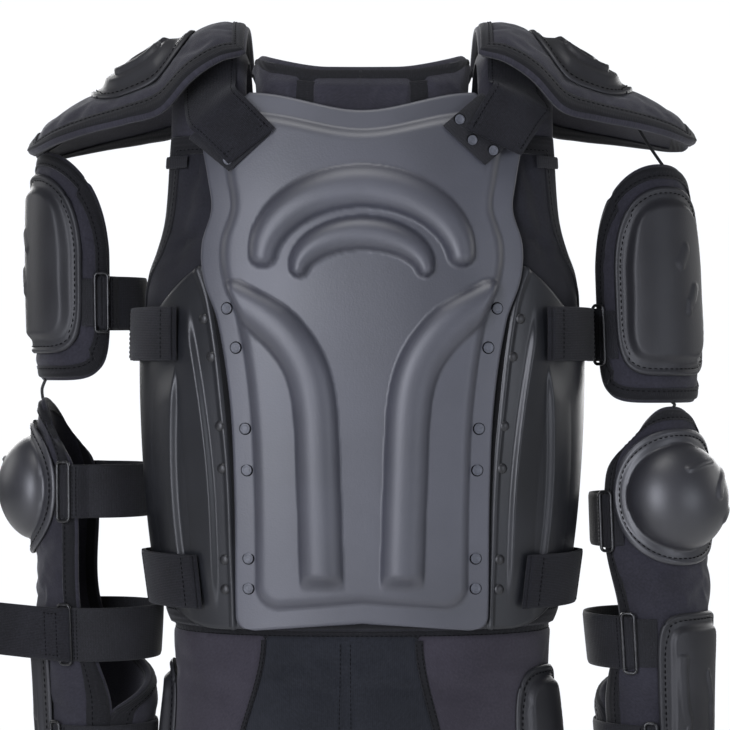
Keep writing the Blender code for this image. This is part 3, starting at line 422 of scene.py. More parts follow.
# Moulded polyethylene cup: smoother than the shells, so that its dome carries a broad soft light.
cupBlack = moulded("polyethylene_moulded_cup", "#222226", "#2d2d32", 0.44, 1.6 * mm, 0.05 * mm, 0.8)
# 600 denier nylon over foam: threads near 0.5 mm, drawn at 1.2 mm so that they show.
nylon = woven("nylon_oxford_padded", "#201f26", "#302f38", 1.2 * mm, 1.2 * mm, 0.16 * mm)
# The vest's nylon: the same weave, in darker colours that paint the shade on the vest, which lies recessed
# among the plates.
nylonVestShaded = woven("nylon_oxford_vest", "#15151a", "#23232a", 1.2 * mm, 1.2 * mm, 0.16 * mm,
                  sheen=0.05)
# Neoprene faced with jersey: a close, dull, purple-grey surface.
neoprene = woven("neoprene_jersey_faced", "#2b282f", "#38353d", 1.4 * mm, 1.1 * mm, 0.14 * mm, 0.92, 0.12)
# Grosgrain binding: ribs across the tape, 1.6 mm apart.
binding = woven("grosgrain_binding", "#0c0c0f", "#18181c", 6.0 * mm, 1.6 * mm, 0.30 * mm, 0.85, 0.12)
# Ribbed nylon webbing: rows of threads along its length, 1.6 mm wide.
webbing = woven("nylon_webbing_woven", "#101013", "#1f1f24", 1.6 * mm, 2.4 * mm, 0.25 * mm, 0.75, 0.12)
# Loop pile of a hook and loop strap: a soft broken surface that takes little light.
loopPile = woven("loop_pile_brushed", "#0f0f13", "#202026", 1.5 * mm, 1.3 * mm, 0.35 * mm, 0.97, 0.08)
# Near-black felt, blacker than any other cloth: it stands for the vest cloth seen in the narrow gap between
# the side and chest plates, with the shade of that gap painted into its colour.
feltGapShade = woven("felt_edging", "#060607", "#0f0f11", 2.0 * mm, 2.0 * mm, 0.3 * mm, 0.98, 0.05)
# Knitted polyester: fine ribs along the body, matt.
knit = woven("polyester_knit", "#17191e", "#24262c", 1.8 * mm, 1.1 * mm, 0.16 * mm, 0.95, 0.12)
# Polyester sewing thread, waxed. Its near-black also colours the seat discs under the rivet heads, which
# paint the shadow ring round each head.
threadAndShade = startMaterial("polyester_thread", 0.9, 0.1)[0]
threadAndShade.node_tree.nodes["Principled BSDF"].inputs["Base Color"].default_value = hexColour("#08080a")
# Braided elastic cord.
elastic = woven("elastic_braid", "#0b0b0c", "#1c1c1e", 1.2 * mm, 1.2 * mm, 0.2 * mm, 0.8, 0.2)


# Powder coated steel wire: black, slightly lumpy, bright where it is worn
def wireFinish():
    material, tree, shader = startMaterial("steel_wire_powder_coated", 0.32, 0.6)
    where = addNode(tree, "ShaderNodeTexCoord").outputs["Object"]
    noise = addNode(tree, "ShaderNodeTexNoise", {"Vector": where, "Scale": 1 / (6 * mm), "Detail": 3.0})
    worn = noise.outputs["Fac"]
    fillSockets(tree, shader, {"Base Color": twoTone(tree, "#141415", "#3a3a3c", worn, 0.55, 0.75)})
    layBumps(tree, shader, (0.1 * mm,), (0.4,), (worn,))
    return material


# Painted brass rivet head: a turned face, with faint clouds in its colour and gloss
def rivetFinish(name, low, high, roughness):
    material, tree, shader = startMaterial(name, roughness, 0.55)
    where = addNode(tree, "ShaderNodeTexCoord").outputs["Object"]
    noise = addNode(tree, "ShaderNodeTexNoise", {"Vector": where, "Scale": 1 / (3 * mm), "Detail": 3.0})
    gloss = addNode(tree, "ShaderNodeMapRange", {"Value": noise.outputs["Fac"], "To Min": roughness - 0.06,
                                                 "To Max": roughness + 0.08})
    fillSockets(tree, shader, {"Base Color": twoTone(tree, low, high, noise.outputs["Fac"]),
                               "Roughness": gloss.outputs["Result"]})
    return material


wire = wireFinish()
rivetGrey = rivetFinish("rivet_painted_grey", "#3e4047", "#4d4f57", 0.42)
rivetBlack = rivetFinish("rivet_painted_black", "#131315", "#1f1f22", 0.42)
print("stage: materials made", len(bpy.data.materials))


# A node group that takes a mesh and the named values, and gives a mesh
def startTree(name, values):
    tree = bpy.data.node_groups.new(name, "GeometryNodeTree")
    tree.interface.new_socket("Geometry", in_out="INPUT", socket_type="NodeSocketGeometry")
    for label, kind in values.items():
        tree.interface.new_socket(label, in_out="INPUT", socket_type="NodeSocket" + kind)
    tree.interface.new_socket("Geometry", in_out="OUTPUT", socket_type="NodeSocketGeometry")
    return tree, addNode(tree, "NodeGroupInput").outputs


# Copies of a shape on points, made real and painted
def finishTree(tree, finish, sockets):
    place = addNode(tree, "GeometryNodeInstanceOnPoints", sockets)
    real = addNode(tree, "GeometryNodeRealizeInstances", {"Geometry": place.outputs["Instances"]})
    paint = addNode(tree, "GeometryNodeSetMaterial", {"Geometry": real.outputs["Geometry"],
                                                      "Material": finish})
    addNode(tree, "NodeGroupOutput", {"Geometry": paint.outputs["Geometry"]})
    return tree


# Threads of a set length along every line of the mesh that carries the modifier
def stitchTree():
    tree, given = startTree("stitchRow", {"Pitch": "Float", "Stitch Length": "Float",
                                          "Thread Radius": "Float", "Thread": "Material"})
    curve = addNode(tree, "GeometryNodeMeshToCurve", {"Mesh": given["Geometry"]})
    points = addNode(tree, "GeometryNodeCurveToPoints", {"Curve": curve.outputs["Curve"],
                                                         "Length": given["Pitch"]}, mode="LENGTH")
    ball = addNode(tree, "GeometryNodeMeshUVSphere", {"Segments": 6, "Rings": 4, "Radius": 1.0})
    half = addNode(tree, "ShaderNodeMath", {0: given["Stitch Length"], 1: 0.5}, operation="MULTIPLY")
    radius = given["Thread Radius"]
    size = addNode(tree, "ShaderNodeCombineXYZ", {"X": radius, "Y": radius, "Z": half.outputs[0]})
    shape = addNode(tree, "GeometryNodeTransform", {"Geometry": ball.outputs["Mesh"],
                                                    "Scale": size.outputs["Vector"]})
    return finishTree(tree, given["Thread"], {"Points": points.outputs["Points"],
                                              "Instance": shape.outputs["Geometry"],
                                              "Rotation": points.outputs["Rotation"]})


# A head on every point, turned to the point's own facing
def rivetTree():
    tree, given = startTree("rivetSet", {"Head": "Object", "Head Radius": "Float", "Finish": "Material"})
    head = addNode(tree, "GeometryNodeObjectInfo", {"Object": given["Head"]})
    facing = addNode(tree, "GeometryNodeInputNamedAttribute", {"Name": "facing"}, data_type="FLOAT_VECTOR")
    turn = addNode(tree, "FunctionNodeAlignRotationToVector", {"Vector": facing.outputs["Attribute"]},
                   axis="Z")
    points = addNode(tree, "GeometryNodeMeshToPoints", {"Mesh": given["Geometry"]})
    size = addNode(tree, "ShaderNodeCombineXYZ", dict.fromkeys("XYZ", given["Head Radius"]))
    return finishTree(tree, given["Finish"], {"Points": points.outputs["Points"],
                                              "Instance": head.outputs["Geometry"],
                                              "Rotation": turn.outputs["Rotation"],
                                              "Scale": size.outputs["Vector"]})


trees = {"stitchRow": stitchTree(), "rivetSet": rivetTree()}


# Runs a node tree on a mesh and keeps the result as a plain mesh
def runTree(name, source, treeName, values, material):
    modifier = source.modifiers.new(treeName, "NODES")
    modifier.node_group = trees[treeName]
    for item in trees[treeName].interface.items_tree:
        if item.in_out == "INPUT" and item.name in values:
            modifier[item.identifier] = values[item.name]
    graph = bpy.context.evaluated_depsgraph_get()
    mesh = bpy.data.meshes.new_from_object(source.evaluated_get(graph))
    source.modifiers.remove(modifier)
    bpy.data.objects.remove(source, do_unlink=True)
    mesh.name = name
    mesh.materials.clear()
    mesh.materials.append(material)
    mesh.shade_smooth()
    return linkObject(name, mesh)


stitches = {
    # pitch, length and thread radius in mm
    "binding": (5, 3.4, 0.55), "shell": (5.5, 3.6, 0.5), "cup": (5.5, 4, 0.55), "strap": (4, 2.8, 0.4),
    "elastic": (3.6, 2.6, 0.4), "belt": (4.4, 3, 0.4), "seam": (4, 2.8, 0.35),
}


# Stitches along open or closed lines of points
def sewRows(name, lines, slotName, kind, closed=False):
    verts, edges = [], []
    for points in lines:
        start = len(verts)
        verts += [tuple(p) for p in points]
        edges += [(start + i, start + i + 1) for i in range(len(points) - 1)]
        if closed:
            edges.append((len(verts) - 1, start))
    mesh = bpy.data.meshes.new(name + "_line")
    mesh.from_pydata(verts, edges, [])
    pitch, length, radius = (size * mm for size in stitches[kind])
    values = {"Pitch": pitch, "Stitch Length": length, "Thread Radius": radius, "Thread": threadAndShade}
    settle(runTree(name, linkObject(name + "_line", mesh), "stitchRow", values, threadAndShade), slotName)


# A round head of radius 1 turned from a profile of (radius, height)
def latheHead(name, profile):
    count = 20
    data = bmesh.new()
    rings = []
    for radius, height in profile:
        angles = [math.tau * i / count for i in range(count if radius else 1)]
        rings.append([data.verts.new((radius * math.cos(angle), radius * math.sin(angle), height))
                      for angle in angles])
    for first, second in zip(rings, rings[1:]):
        for i in range(count):
            k = (i + 1) % count
            loop = [first[i % len(first)], first[k % len(first)], second[k % len(second)],
                    second[i % len(second)]]
            face = list(dict.fromkeys(loop))
            if len(face) > 2:
                data.faces.new(face)
    bmesh.ops.recalc_face_normals(data, faces=data.faces)
    mesh = bpy.data.meshes.new(name)
    data.to_mesh(mesh)
    data.free()
    return linkObject(name, mesh)


heads = {
    # radius, height in shares of the head's radius
    "flat": latheHead("rivetHeadFlat", ((0, -0.5), (0.78, -0.5), (0.80, 0.14), (1.0, 0.17), (1.02, 0.26),
                                        (0.96, 0.34), (0.84, 0.37), (0.66, 0.36), (0.58, 0.31), (0, 0.31))),
    # seat: a flat disc a little wider than the head, set under it in a near-black finish, paints the dark
    # shadow ring round the head.
    "seat": latheHead("rivetSeat", ((0, -0.5), (1.20, -0.5), (1.20, 0.04), (1.10, 0.07), (0, 0.07))),
    "dome": latheHead("rivetHeadDome", ((0, -0.5), (0.80, -0.5), (0.82, 0.10), (1.0, 0.12), (1.0, 0.22),
                                        (0.86, 0.38), (0.62, 0.50), (0.32, 0.57), (0, 0.59))),
}


# Heads on a surface: place(off) gives their points at a height over it
def setRivets(name, place, height, head, radius, finish, slotName):
    points = place(height)
    mesh = bpy.data.meshes.new(name + "_points")
    mesh.from_pydata([tuple(p) for p in points], [], [])
    facing = mesh.attributes.new("facing", "FLOAT_VECTOR", "POINT")
    ahead = place(height + 5 * mm) - points
    facing.data.foreach_set("vector", np.asarray(ahead, np.float32).ravel())
    row = runTree(name, linkObject(name + "_points", mesh), "rivetSet",
                  {"Head": heads[head], "Head Radius": radius, "Finish": finish}, finish)
    row.data.set_sharp_from_angle(angle=math.radians(30))
    settle(row, slotName)


chest = {
    "top": 42 * mm, "height": 455 * mm, "half": 137 * mm, "wall": 4 * mm,
    "outline": (
        # height, width
        (-0.04, 0.985), (0.03, 1.000), (0.13, 0.950), (0.19, 0.928), (0.26, 0.986), (0.33, 0.972),
        (0.41, 0.888), (0.57, 0.812), (0.75, 0.786), (0.955, 0.779), (1.03, 0.772),
    ),
    "scoopRise": 17 * mm, "scoopHalf": 98 * mm, "shoulderFall": 34 * mm, "hemDrop": 10 * mm,
    "rim": 16 * mm, "slope": 11 * mm, "fieldRise": 7 * mm, "ridgeRise": 11.5 * mm, "corner": 13 * mm,
    "innerCorner": 22 * mm, "columns": 160, "rows": 230,
}
vestWall, sideWall = 9 * mm, 3 * mm
chestBase = vestWall + sideWall + 2 * clear["play"]

ridges = {
    "stations": 40,
    "bigArc": {"half": 83 * mm, "height": 64 * mm, "drop": 132 * mm, "band": (10.5 * mm, 19.2 * mm)},
    "smallArc": {"half": 53.5 * mm, "height": 33 * mm, "drop": 143 * mm, "band": (6.8 * mm, 15 * mm)},
    "rib": {
        "foot": 34 * mm, "reach": 101 * mm, "band": 18.5 * mm, "top": 171 * mm, "low": 445 * mm,
        "footSlope": 16 * mm,
        "route": (
            # sideways, down
            (1.10, -0.02), (0.70, 0.05), (0.42, 0.12), (0.20, 0.215), (0.09, 0.34), (0.05, 0.55),
            (0.02, 0.78), (0.00, 1.00),
        ),
    },
}


def chestShare(z):
    return (-chest["top"] - z) / chest["height"]


def chestHalf(share):
    return chest["half"] * lookUp(chest["outline"], share)


def chestEdges(x):
    reach = np.abs(x)
    rise = chest["scoopRise"] * ease(reach, 0, chest["scoopHalf"])
    fall = chest["shoulderFall"] * np.maximum(reach - chest["scoopHalf"], 0)
    fall = fall / (chest["half"] - chest["scoopHalf"])
    drop = chest["hemDrop"] * np.minimum(reach / chestHalf(1.0), 1.0)
    return -chest["top"] + rise - fall, -chest["top"] - chest["height"] - drop


# Sideways place and height on the plate for a -1..1 across and b 0..1 down
def chestSpot(a, b):
    x = a * chestHalf(b)
    for _ in range(3):
        top, low = chestEdges(x)
        z = top + (low - top) * b
        x = a * chestHalf(chestShare(z))
    return x, z


# Distance to the plate's edge, with round inner corners
def chestEdgeDistance(a, b):
    across = (1 - np.abs(a)) * chestHalf(chestShare(chestSpot(a, b)[1]))
    down = np.minimum(b, 1 - b) * chest["height"]
    corner = chest["rim"] + chest["innerCorner"]
    aside, above = np.maximum(corner - across, 0), np.maximum(corner - down, 0)
    return np.where((aside > 0) & (above > 0), corner - np.hypot(aside, above), np.minimum(across, down))


def arcRoute(form):
    angle = np.linspace(math.pi - 0.05, 0.05, ridges["stations"])
    x = form["half"] * np.cos(angle)
    z = -chest["top"] - form["drop"] + form["height"] * np.sin(angle)
    widths = form["band"][0] + (form["band"][1] - form["band"][0]) * np.sin(angle) ** 0.8
    return np.stack([x, z], axis=-1), widths


def ribRoute(sign):
    form = ridges["rib"]
    wide, tall = form["reach"] - form["foot"], form["low"] - form["top"]
    line = smoothRoute([(sign * (form["foot"] + wide * out), -chest["top"] - form["top"] - tall * down)
                        for out, down in form["route"]], ridges["stations"])
    widths = np.full(len(line), form["band"])
    widths[:8] = np.linspace(0.80, 1.0, 8) * form["band"]
    return line, widths


# Relief of the plate above its rim
def chestRise(a, b):
    x, z = chestSpot(a, b)
    inside = np.clip((chestEdgeDistance(a, b) - chest["rim"]) / chest["slope"], 0, 1)
    field = 1 - (1 - inside) ** 2.4
    # Each ridge rises steeply from a sharp foot and is round on top.
    heights = [ridgeShare(x, z, *arcRoute(ridges[name])) for name in ("bigArc", "smallArc")]
    foot = -chest["top"] - chest["height"] + chest["rim"] + chest["slope"]
    sloped = ease(z, foot, foot + ridges["rib"]["footSlope"])
    heights += [ridgeShare(x, z, *ribRoute(sign)) * sloped for sign in (-1, 1)]
    return field * (chest["fieldRise"] + chest["ridgeRise"] * np.maximum.reduce(heights))


# Share of the width that is left where the two lower corners turn
def cornerPull(b):
    below = np.clip(1 - (1 - b) * chest["height"] / chest["corner"], 0, 1)
    hemHalf = chest["half"] * chest["outline"][-1][1]
    return 1 - chest["corner"] / hemHalf * (1 - np.sqrt(1 - below ** 2))


def chestPoint(a, b, off):
    x, z = chestSpot(a, b)
    return torsoFront(x, z, off)


def makeChestPlate():
    a, b = patchGrid(chest, lowB=0)
    a = a * cornerPull(b)
    rise = chestRise(a, b)
    inner = chestPoint(a, b, chestBase + 0.95 * rise)
    outer = chestPoint(a, b, chestBase + chest["wall"] + rise)
    plate = wallMesh("chest_plate_pressed", inner, outer, plateGrey, smoothAngle=0)
    settle(plate, "moulded_grey_plate", "chest_plate")


makeChestPlate()
print("stage: chest plate")


def subdivide(piece):
    modifier = piece.modifiers.new("smooth", "SUBSURF")
    modifier.levels = 1
    graph = bpy.context.evaluated_depsgraph_get()
    old = piece.data
    fresh = bpy.data.meshes.new_from_object(piece.evaluated_get(graph))
    piece.modifiers.remove(modifier)
    piece.data = fresh
    fresh.name = old.name
    bpy.data.meshes.remove(old)


clothSettings = {
    "quality": 4, "mass": 0.25, "tension_stiffness": 12, "compression_stiffness": 12,
    "bending_stiffness": 0.6, "shrink_min": -0.03, "use_pressure": True, "vertex_group_mass": "held",
}
# Levels of holding and frames of the simulation
holdLevels, clothFrames = 20, 20


def readVectors(items, field):
    flat = np.zeros(len(items) * 3, np.float32)
    items.foreach_get(field, flat)
    return flat.reshape(-1, 3)


# Air pressure swells the free cloth. held is 1 where it is sewn down or backed, and most is
# how far a point may move
def swell(piece, held, most, pressure=4.0):
    mesh = piece.data
    start = readVectors(mesh.vertices, "co")
    group = piece.vertex_groups.new(name="held")
    levels = np.round(held * holdLevels) / holdLevels
    for level in np.unique(levels):
        group.add(np.nonzero(levels == level)[0].tolist(), float(level), "REPLACE")
    cloth = piece.modifiers.new("swell", "CLOTH")
    for key, value in clothSettings.items():
        setattr(cloth.settings, key, value)
    cloth.settings.uniform_pressure_force = pressure
    cloth.settings.effector_weights.gravity = 0
    cloth.collision_settings.use_collision = False
    for number in range(1, clothFrames + 1):
        bpy.context.scene.frame_set(number)
    graph = bpy.context.evaluated_depsgraph_get()
    moved = piece.evaluated_get(graph).to_mesh()
    move = readVectors(moved.vertices, "co") - start
    piece.modifiers.remove(cloth)
    piece.vertex_groups.clear()
    bpy.context.scene.frame_set(1)
    length = np.linalg.norm(move, axis=1)
    room = most * (1 - held)
    move *= np.minimum(1, room / np.maximum(length, 1e-9))[:, None]
    mesh.vertices.foreach_set("co", (start + move).astype(np.float32).ravel())
    mesh.update()
    subdivide(piece)


def padHeight(form, a, b):
    full = 1 - squareReach(a, b) ** form.get("fall", 6)
    return form["thick"] * (form["edge"] + (1 - form["edge"]) * full)


# A padded piece over its solid: inner face, thickness that falls to the bound edge, swollen cloth
def makePad(name, form, surface, material, node, held=None, extra=None, slotName="nylon_padding"):
    a, b = patchGrid(form)
    height = padHeight(form, a, b)
    if extra is not None:
        height = height + extra(a, b)
    pad = wallMesh(name, surface(a, b, form["inner"]), surface(a, b, form["inner"] + height), material)
    free = ease(1 - squareReach(a, b), 0.03, 0.16)
    if held is not None:
        free = free * (1 - held(a, b))
    weight = np.ones(len(pad.data.vertices))
    weight[a.size:2 * a.size] = 1 - free.ravel()
    swell(pad, weight, form["most"])
    settle(pad, slotName, node)


# Half the sizes of a patch along its two middle lines
def halfLengths(surface, off):
    t = np.linspace(-1, 1, 41)
    sizes = []
    for line in (surface(t, 0, off), surface(0, t, off)):
        sizes.append(np.linalg.norm(np.diff(line, axis=0), axis=1).sum() / 2)
    return sizes


def borderLoop(count):
    side = np.linspace(-1, 1, count)[:-1]
    one = np.ones(count - 1)
    return np.concatenate([side, one, -side, -one]), np.concatenate([-one, side, one, -side])


# A closed tube through sections (stations, section points, 3)
def sweepLoop(name, grid, material):
    stations, count = grid.shape[:2]
    index = np.arange(stations * count).reshape(stations, count)
    ahead = np.roll(index, -1, axis=0)
    quads = np.stack([index, np.roll(index, -1, axis=1), np.roll(ahead, -1, axis=1), ahead], axis=-1)
    along = np.linalg.norm(np.diff(grid[:, 0], axis=0), axis=1)
    v = np.concatenate([[0], np.cumsum(along)])[:, None] + np.zeros((1, count))
    across = np.linalg.norm(np.diff(grid, axis=1), axis=2)
    u = np.concatenate([np.zeros((stations, 1)), np.cumsum(across, axis=1)], axis=1)
    uv = np.stack([u, v], axis=-1).reshape(-1, 2)
    return makeObject(name, grid.reshape(-1, 3), quads.reshape(-1, 4).tolist(), material, uv, 60)


tape = {
    "width": 11 * mm, "stitchInset": 8.3 * mm,
    "section": (
        # share of the width from the edge, lift over the cloth in mm
        (1.00, -0.9), (1.00, 1.5), (0.94, 2.1), (0.72, 1.5), (0.45, 1.9), (0.15, 1.8), (0.03, 1.1),
    ),
}


# Tape folded round the edge of a pad and sewn through
def bindEdge(name, form, surface, count, width=tape["width"]):
    a, b = borderLoop(count)
    halfA, halfB = halfLengths(surface, form["inner"] + form["thick"] / 2)

    def inset(amount):
        return a * (1 - amount / halfA), b * (1 - amount / halfB)

    outer, inner = [], []
    for share, lift in tape["section"]:
        p, q = inset(share * width)
        height = padHeight(form, p, q)
        outer.append(surface(p, q, form["inner"] + height + lift * mm))
        inner.append(surface(p, q, form["inner"] - 0.7 * lift * mm))
    p, q = inset(4 * mm)
    middle = form["inner"] + padHeight(form, a, b) / 2
    edge, near = surface(a, b, middle), surface(p, q, middle)
    out = edge - near
    out /= np.maximum(np.linalg.norm(out, axis=-1), 1e-9)[..., None]
    grid = np.stack(outer + [edge + out * 1.5 * mm] + inner[::-1], axis=1)
    settle(sweepLoop(name + "_binding", grid, binding), "nylon_padding")
    p, q = inset(tape["stitchInset"] / tape["width"] * width)
    line = surface(p, q, form["inner"] + padHeight(form, p, q) + 1.5 * mm)
    sewRows(name + "_binding_stitches", [line], "nylon_padding", "binding", closed=True)


# A moulding with a thin bead at its rim, a stitched flange and a raised middle
def makeShell(name, form, surface, node, marks=None):
    a, b = patchGrid(form)
    halfA, halfB = halfLengths(surface, form["inner"])
    # Distance to the rim, square to it all round the soft corners.
    reach = np.maximum(np.abs(a), np.abs(b))
    p, q = rounded(a / np.maximum(reach, 1e-6), b / np.maximum(reach, 1e-6), form["power"])
    bend = form["power"] - 1
    edge = (1 - reach) / np.maximum(np.hypot(np.abs(p) ** bend / halfA, np.abs(q) ** bend / halfB), 1e-6)
    relief = 0.9 * mm * bump(edge, 1.5 * mm, 1.5 * mm) - 0.6 * mm * bump(edge, 5 * mm, 1.8 * mm)
    dome = ease(edge, form["flange"], form["flange"] + form["slope"])
    crown = 1 - 0.30 * reach ** 2
    relief = relief + form["rise"] * dome * crown
    if marks is not None:
        relief = relief + marks(a, b) * dome
    inner = surface(a, b, form["inner"])
    outer = surface(a, b, form["inner"] + form["wall"] + relief)
    settle(wallMesh(name, inner, outer, shellBlack, smoothAngle=0), "moulded_shell", node)
    p, q = borderLoop(60)
    p, q = p * (1 - 5 * mm / halfA), q * (1 - 5 * mm / halfB)
    line = surface(p, q, form["inner"] + form["wall"] + 0.2 * mm)
    sewRows(name + "_stitches", [line], "moulded_shell", "shell", closed=True)


# A ribbed tab holds a ring, and runs from it over the pad in under the shell
def makeTab(name, side, start, end, z, seat):
    def surface(a, b, off):
        turn = start + (end - start) * b
        return armPoint(side, turn, z + a * strap["width"] * 0.46, seat + off)

    makeBand(name + "_tab", surface, 1.3 * mm, (19, 26), webbing, "webbing", thin=0.7)


# Webbing: surface(a across, b along, off), thinner at its selvedges
def makeBand(name, surface, wall, spans, material, slotName, *nodes, thin=0.55):
    a, b = np.meshgrid(np.linspace(-1, 1, spans[0]), np.linspace(0, 1, spans[1]))
    full = 1 - (1 - thin) * ease(np.abs(a), 0.86, 1)
    inner, outer = surface(a, b, 0.15 * mm), surface(a, b, wall * full)
    settle(wallMesh(name, inner, outer, material), slotName, *nodes)


# Straight stitches over a band, at shares of its length
def crossRows(surface, places, reach, count, off):
    t = np.linspace(-reach, reach, count)
    return [surface(t, place, off) for place in places]


# Even points on a smooth line through rows of points, for arrays (rows, columns, 3)
def smoothLine(points, count):
    points = np.asarray(points, float)
    middle = points[:, points.shape[1] // 2]
    run = np.concatenate([[0], np.cumsum(np.linalg.norm(np.diff(middle, axis=0), axis=1))])
    t = np.linspace(0, run[-1], count)
    result = np.zeros((count,) + points.shape[1:])
    for column in range(points.shape[1]):
        for axis in range(3):
            table = [(run[i], points[i, column, axis]) for i in range(len(run))]
            result[:, column, axis] = lookUp(table, t)
    return result


vest = {
    "top": 60 * mm,
    "sides": (
        # height, front, back
        (0.119, 73, 73), (0.26, 71, 71), (0.33, 75, 73), (0.38, 84, 78), (0.42, 90.5, 81),
        (0.90, 90.5, 81), (0.96, 85, 78), (1.00, 77, 72),
    ),
    "front": {"inner": 0.0, "thick": vestWall, "edge": 0.55, "fall": 8, "columns": 66, "rows": 62,
              "most": 4 * mm, "fill": 0.55},
    "back": {"inner": 0.0, "thick": vestWall, "edge": 0.55, "fall": 8, "columns": 50, "rows": 50,
             "most": 4 * mm, "fill": 0.5},
    "seamDrop": 160 * mm, "foldDepth": 4.6 * mm, "loopDrop": 84 * mm,
}


def vestHeight(b):
    low, top = -torso["length"], -vest["top"]
    return low + (top - low) * (b + 1) / 2


# Half angle of a panel: column 1 for the front, 2 for the back
def vestSide(z, column=1):
    return lookUp(vest["sides"], -z / torso["length"], column)


def makeVest():
    def front(a, b, off):
        z = vestHeight(b)
        return torsoPoint(a * vestSide(z), z, off)

    def back(a, b, off):
        z = vestHeight(b)
        return torsoPoint(180 + a * vestSide(z, 2), z, off)

    # 1 where the plates lie on the cloth
    def underPlates(a, b):
        z = vestHeight(b)
        angle = np.abs(a) * vestSide(z)
        plate = 1 - ease(angle, 54, 58)
        lowered = 1 - ease(angle, 82, 86)
        below = ease(-z, 176 * mm, 186 * mm) * lowered
        return np.maximum(plate, below)

    def frontFolds(a, b):
        z = vestHeight(b)
        angle = np.abs(a) * vestSide(z)
        bare = 1 - underPlates(a, b)
        away = awayFromEdge(a, b, 0.03, 0.12)
        upright = vest["foldDepth"] * bump(angle, 62 - 30 * (z + 0.12), 3.4)
        slanting = 0.8 * vest["foldDepth"] * bump(angle + 420 * (z + 0.165), 66, 5.0)
        small = 0.7 * mm * np.sin(angle * 1.9 - 31 * z)
        seam = -3.4 * mm * bump(-z - 16 * mm * np.sin(angle * 0.06), vest["seamDrop"], 5 * mm)
        return bare * away * (small + seam + 2.2 * mm - upright - slanting)

    # The vest cloth takes the darker nylon, whose colours paint the shade on the recessed vest.
    makePad("vest_front_cloth", vest["front"], front, nylonVestShaded, "vest_front",
            held=underPlates, extra=frontFolds)
    bindEdge("vest_front", vest["front"], front, 120, 17 * mm)
    # A short webbing loop is sewn over each armhole's binding.
    level = 2 * (torso["length"] - vest["loopDrop"]) / (torso["length"] - vest["top"]) - 1
    for side, sign in sides.items():
        def loop(a, t, off, sign=sign):
            return front(sign * (0.985 - 0.10 * t), level + 0.024 * a, vestWall + 1.4 * mm + off)

        makeBand("armhole_loop_" + side, loop, 1.4 * mm, (7, 9), webbing, "webbing")

    def underBackPlate(a, b):
        drop = -vestHeight(b)
        under = ease(drop, 85 * mm, 100 * mm) * (1 - ease(drop, 462 * mm, 474 * mm))
        return (1 - ease(np.abs(a), 0.62, 0.70)) * under

    def backFolds(a, b):
        z = vestHeight(b)
        away = awayFromEdge(a, b, 0.03, 0.12)
        waves = 1.2 * mm * np.sin(28 * a + 11 * z) + 0.7 * mm * np.sin(47 * a - 23 * z)
        return (1 - underBackPlate(a, b)) * away * waves

    # The back cloth takes the same darker nylon, with its painted shade.
    makePad("vest_back_cloth", vest["back"], back, nylonVestShaded, "vest_back",
            held=underBackPlate, extra=backFolds)
    bindEdge("vest_back", vest["back"], back, 110)


collar = {
    "halfWidth": 104 * mm, "halfDepth": 95 * mm, "power": 4.0, "wall": 9 * mm, "lean": 5 * mm,
    "frontTop": 3 * mm, "sideLow": 2 * mm, "height": 12 * mm, "climb": (44, 60), "fall": (124, 138),
    "rise": (18, 72),
    "dividers": (-154, -128, -27, 27, 128, 154),
    "columns": 216, "rows": 17, "puff": 4.2 * mm,
}


# Angle to the front, 0 to 180
def fromFront(angle):
    return np.abs((angle + 180) % 360 - 180)


def collarPoint(angle, b, off):
    turn = fromFront(angle)
    front = 1 - ease(turn, *collar["climb"])
    back = ease(turn, *collar["fall"])
    base = -vest["top"] + clear["gap"]
    low = front * base + back * base + (1 - front - back) * collar["sideLow"]
    level = 1 - ease(turn, *collar["rise"])
    top = level * -collar["frontTop"] + (1 - level) * (collar["sideLow"] + collar["height"])
    z = low + (top - low) * (b + 1) / 2
    inset = collar["lean"] * (b + 1) / 2 - off
    halfWidth = collar["halfWidth"] - collar["wall"] - inset
    halfDepth = collar["halfDepth"] - inset
    side, ahead = np.sin(np.radians(angle)), np.cos(np.radians(angle))
    reach = ovalReach(side, ahead, halfWidth, halfDepth, collar["power"])
    return spots(reach * side, -reach * ahead, z)


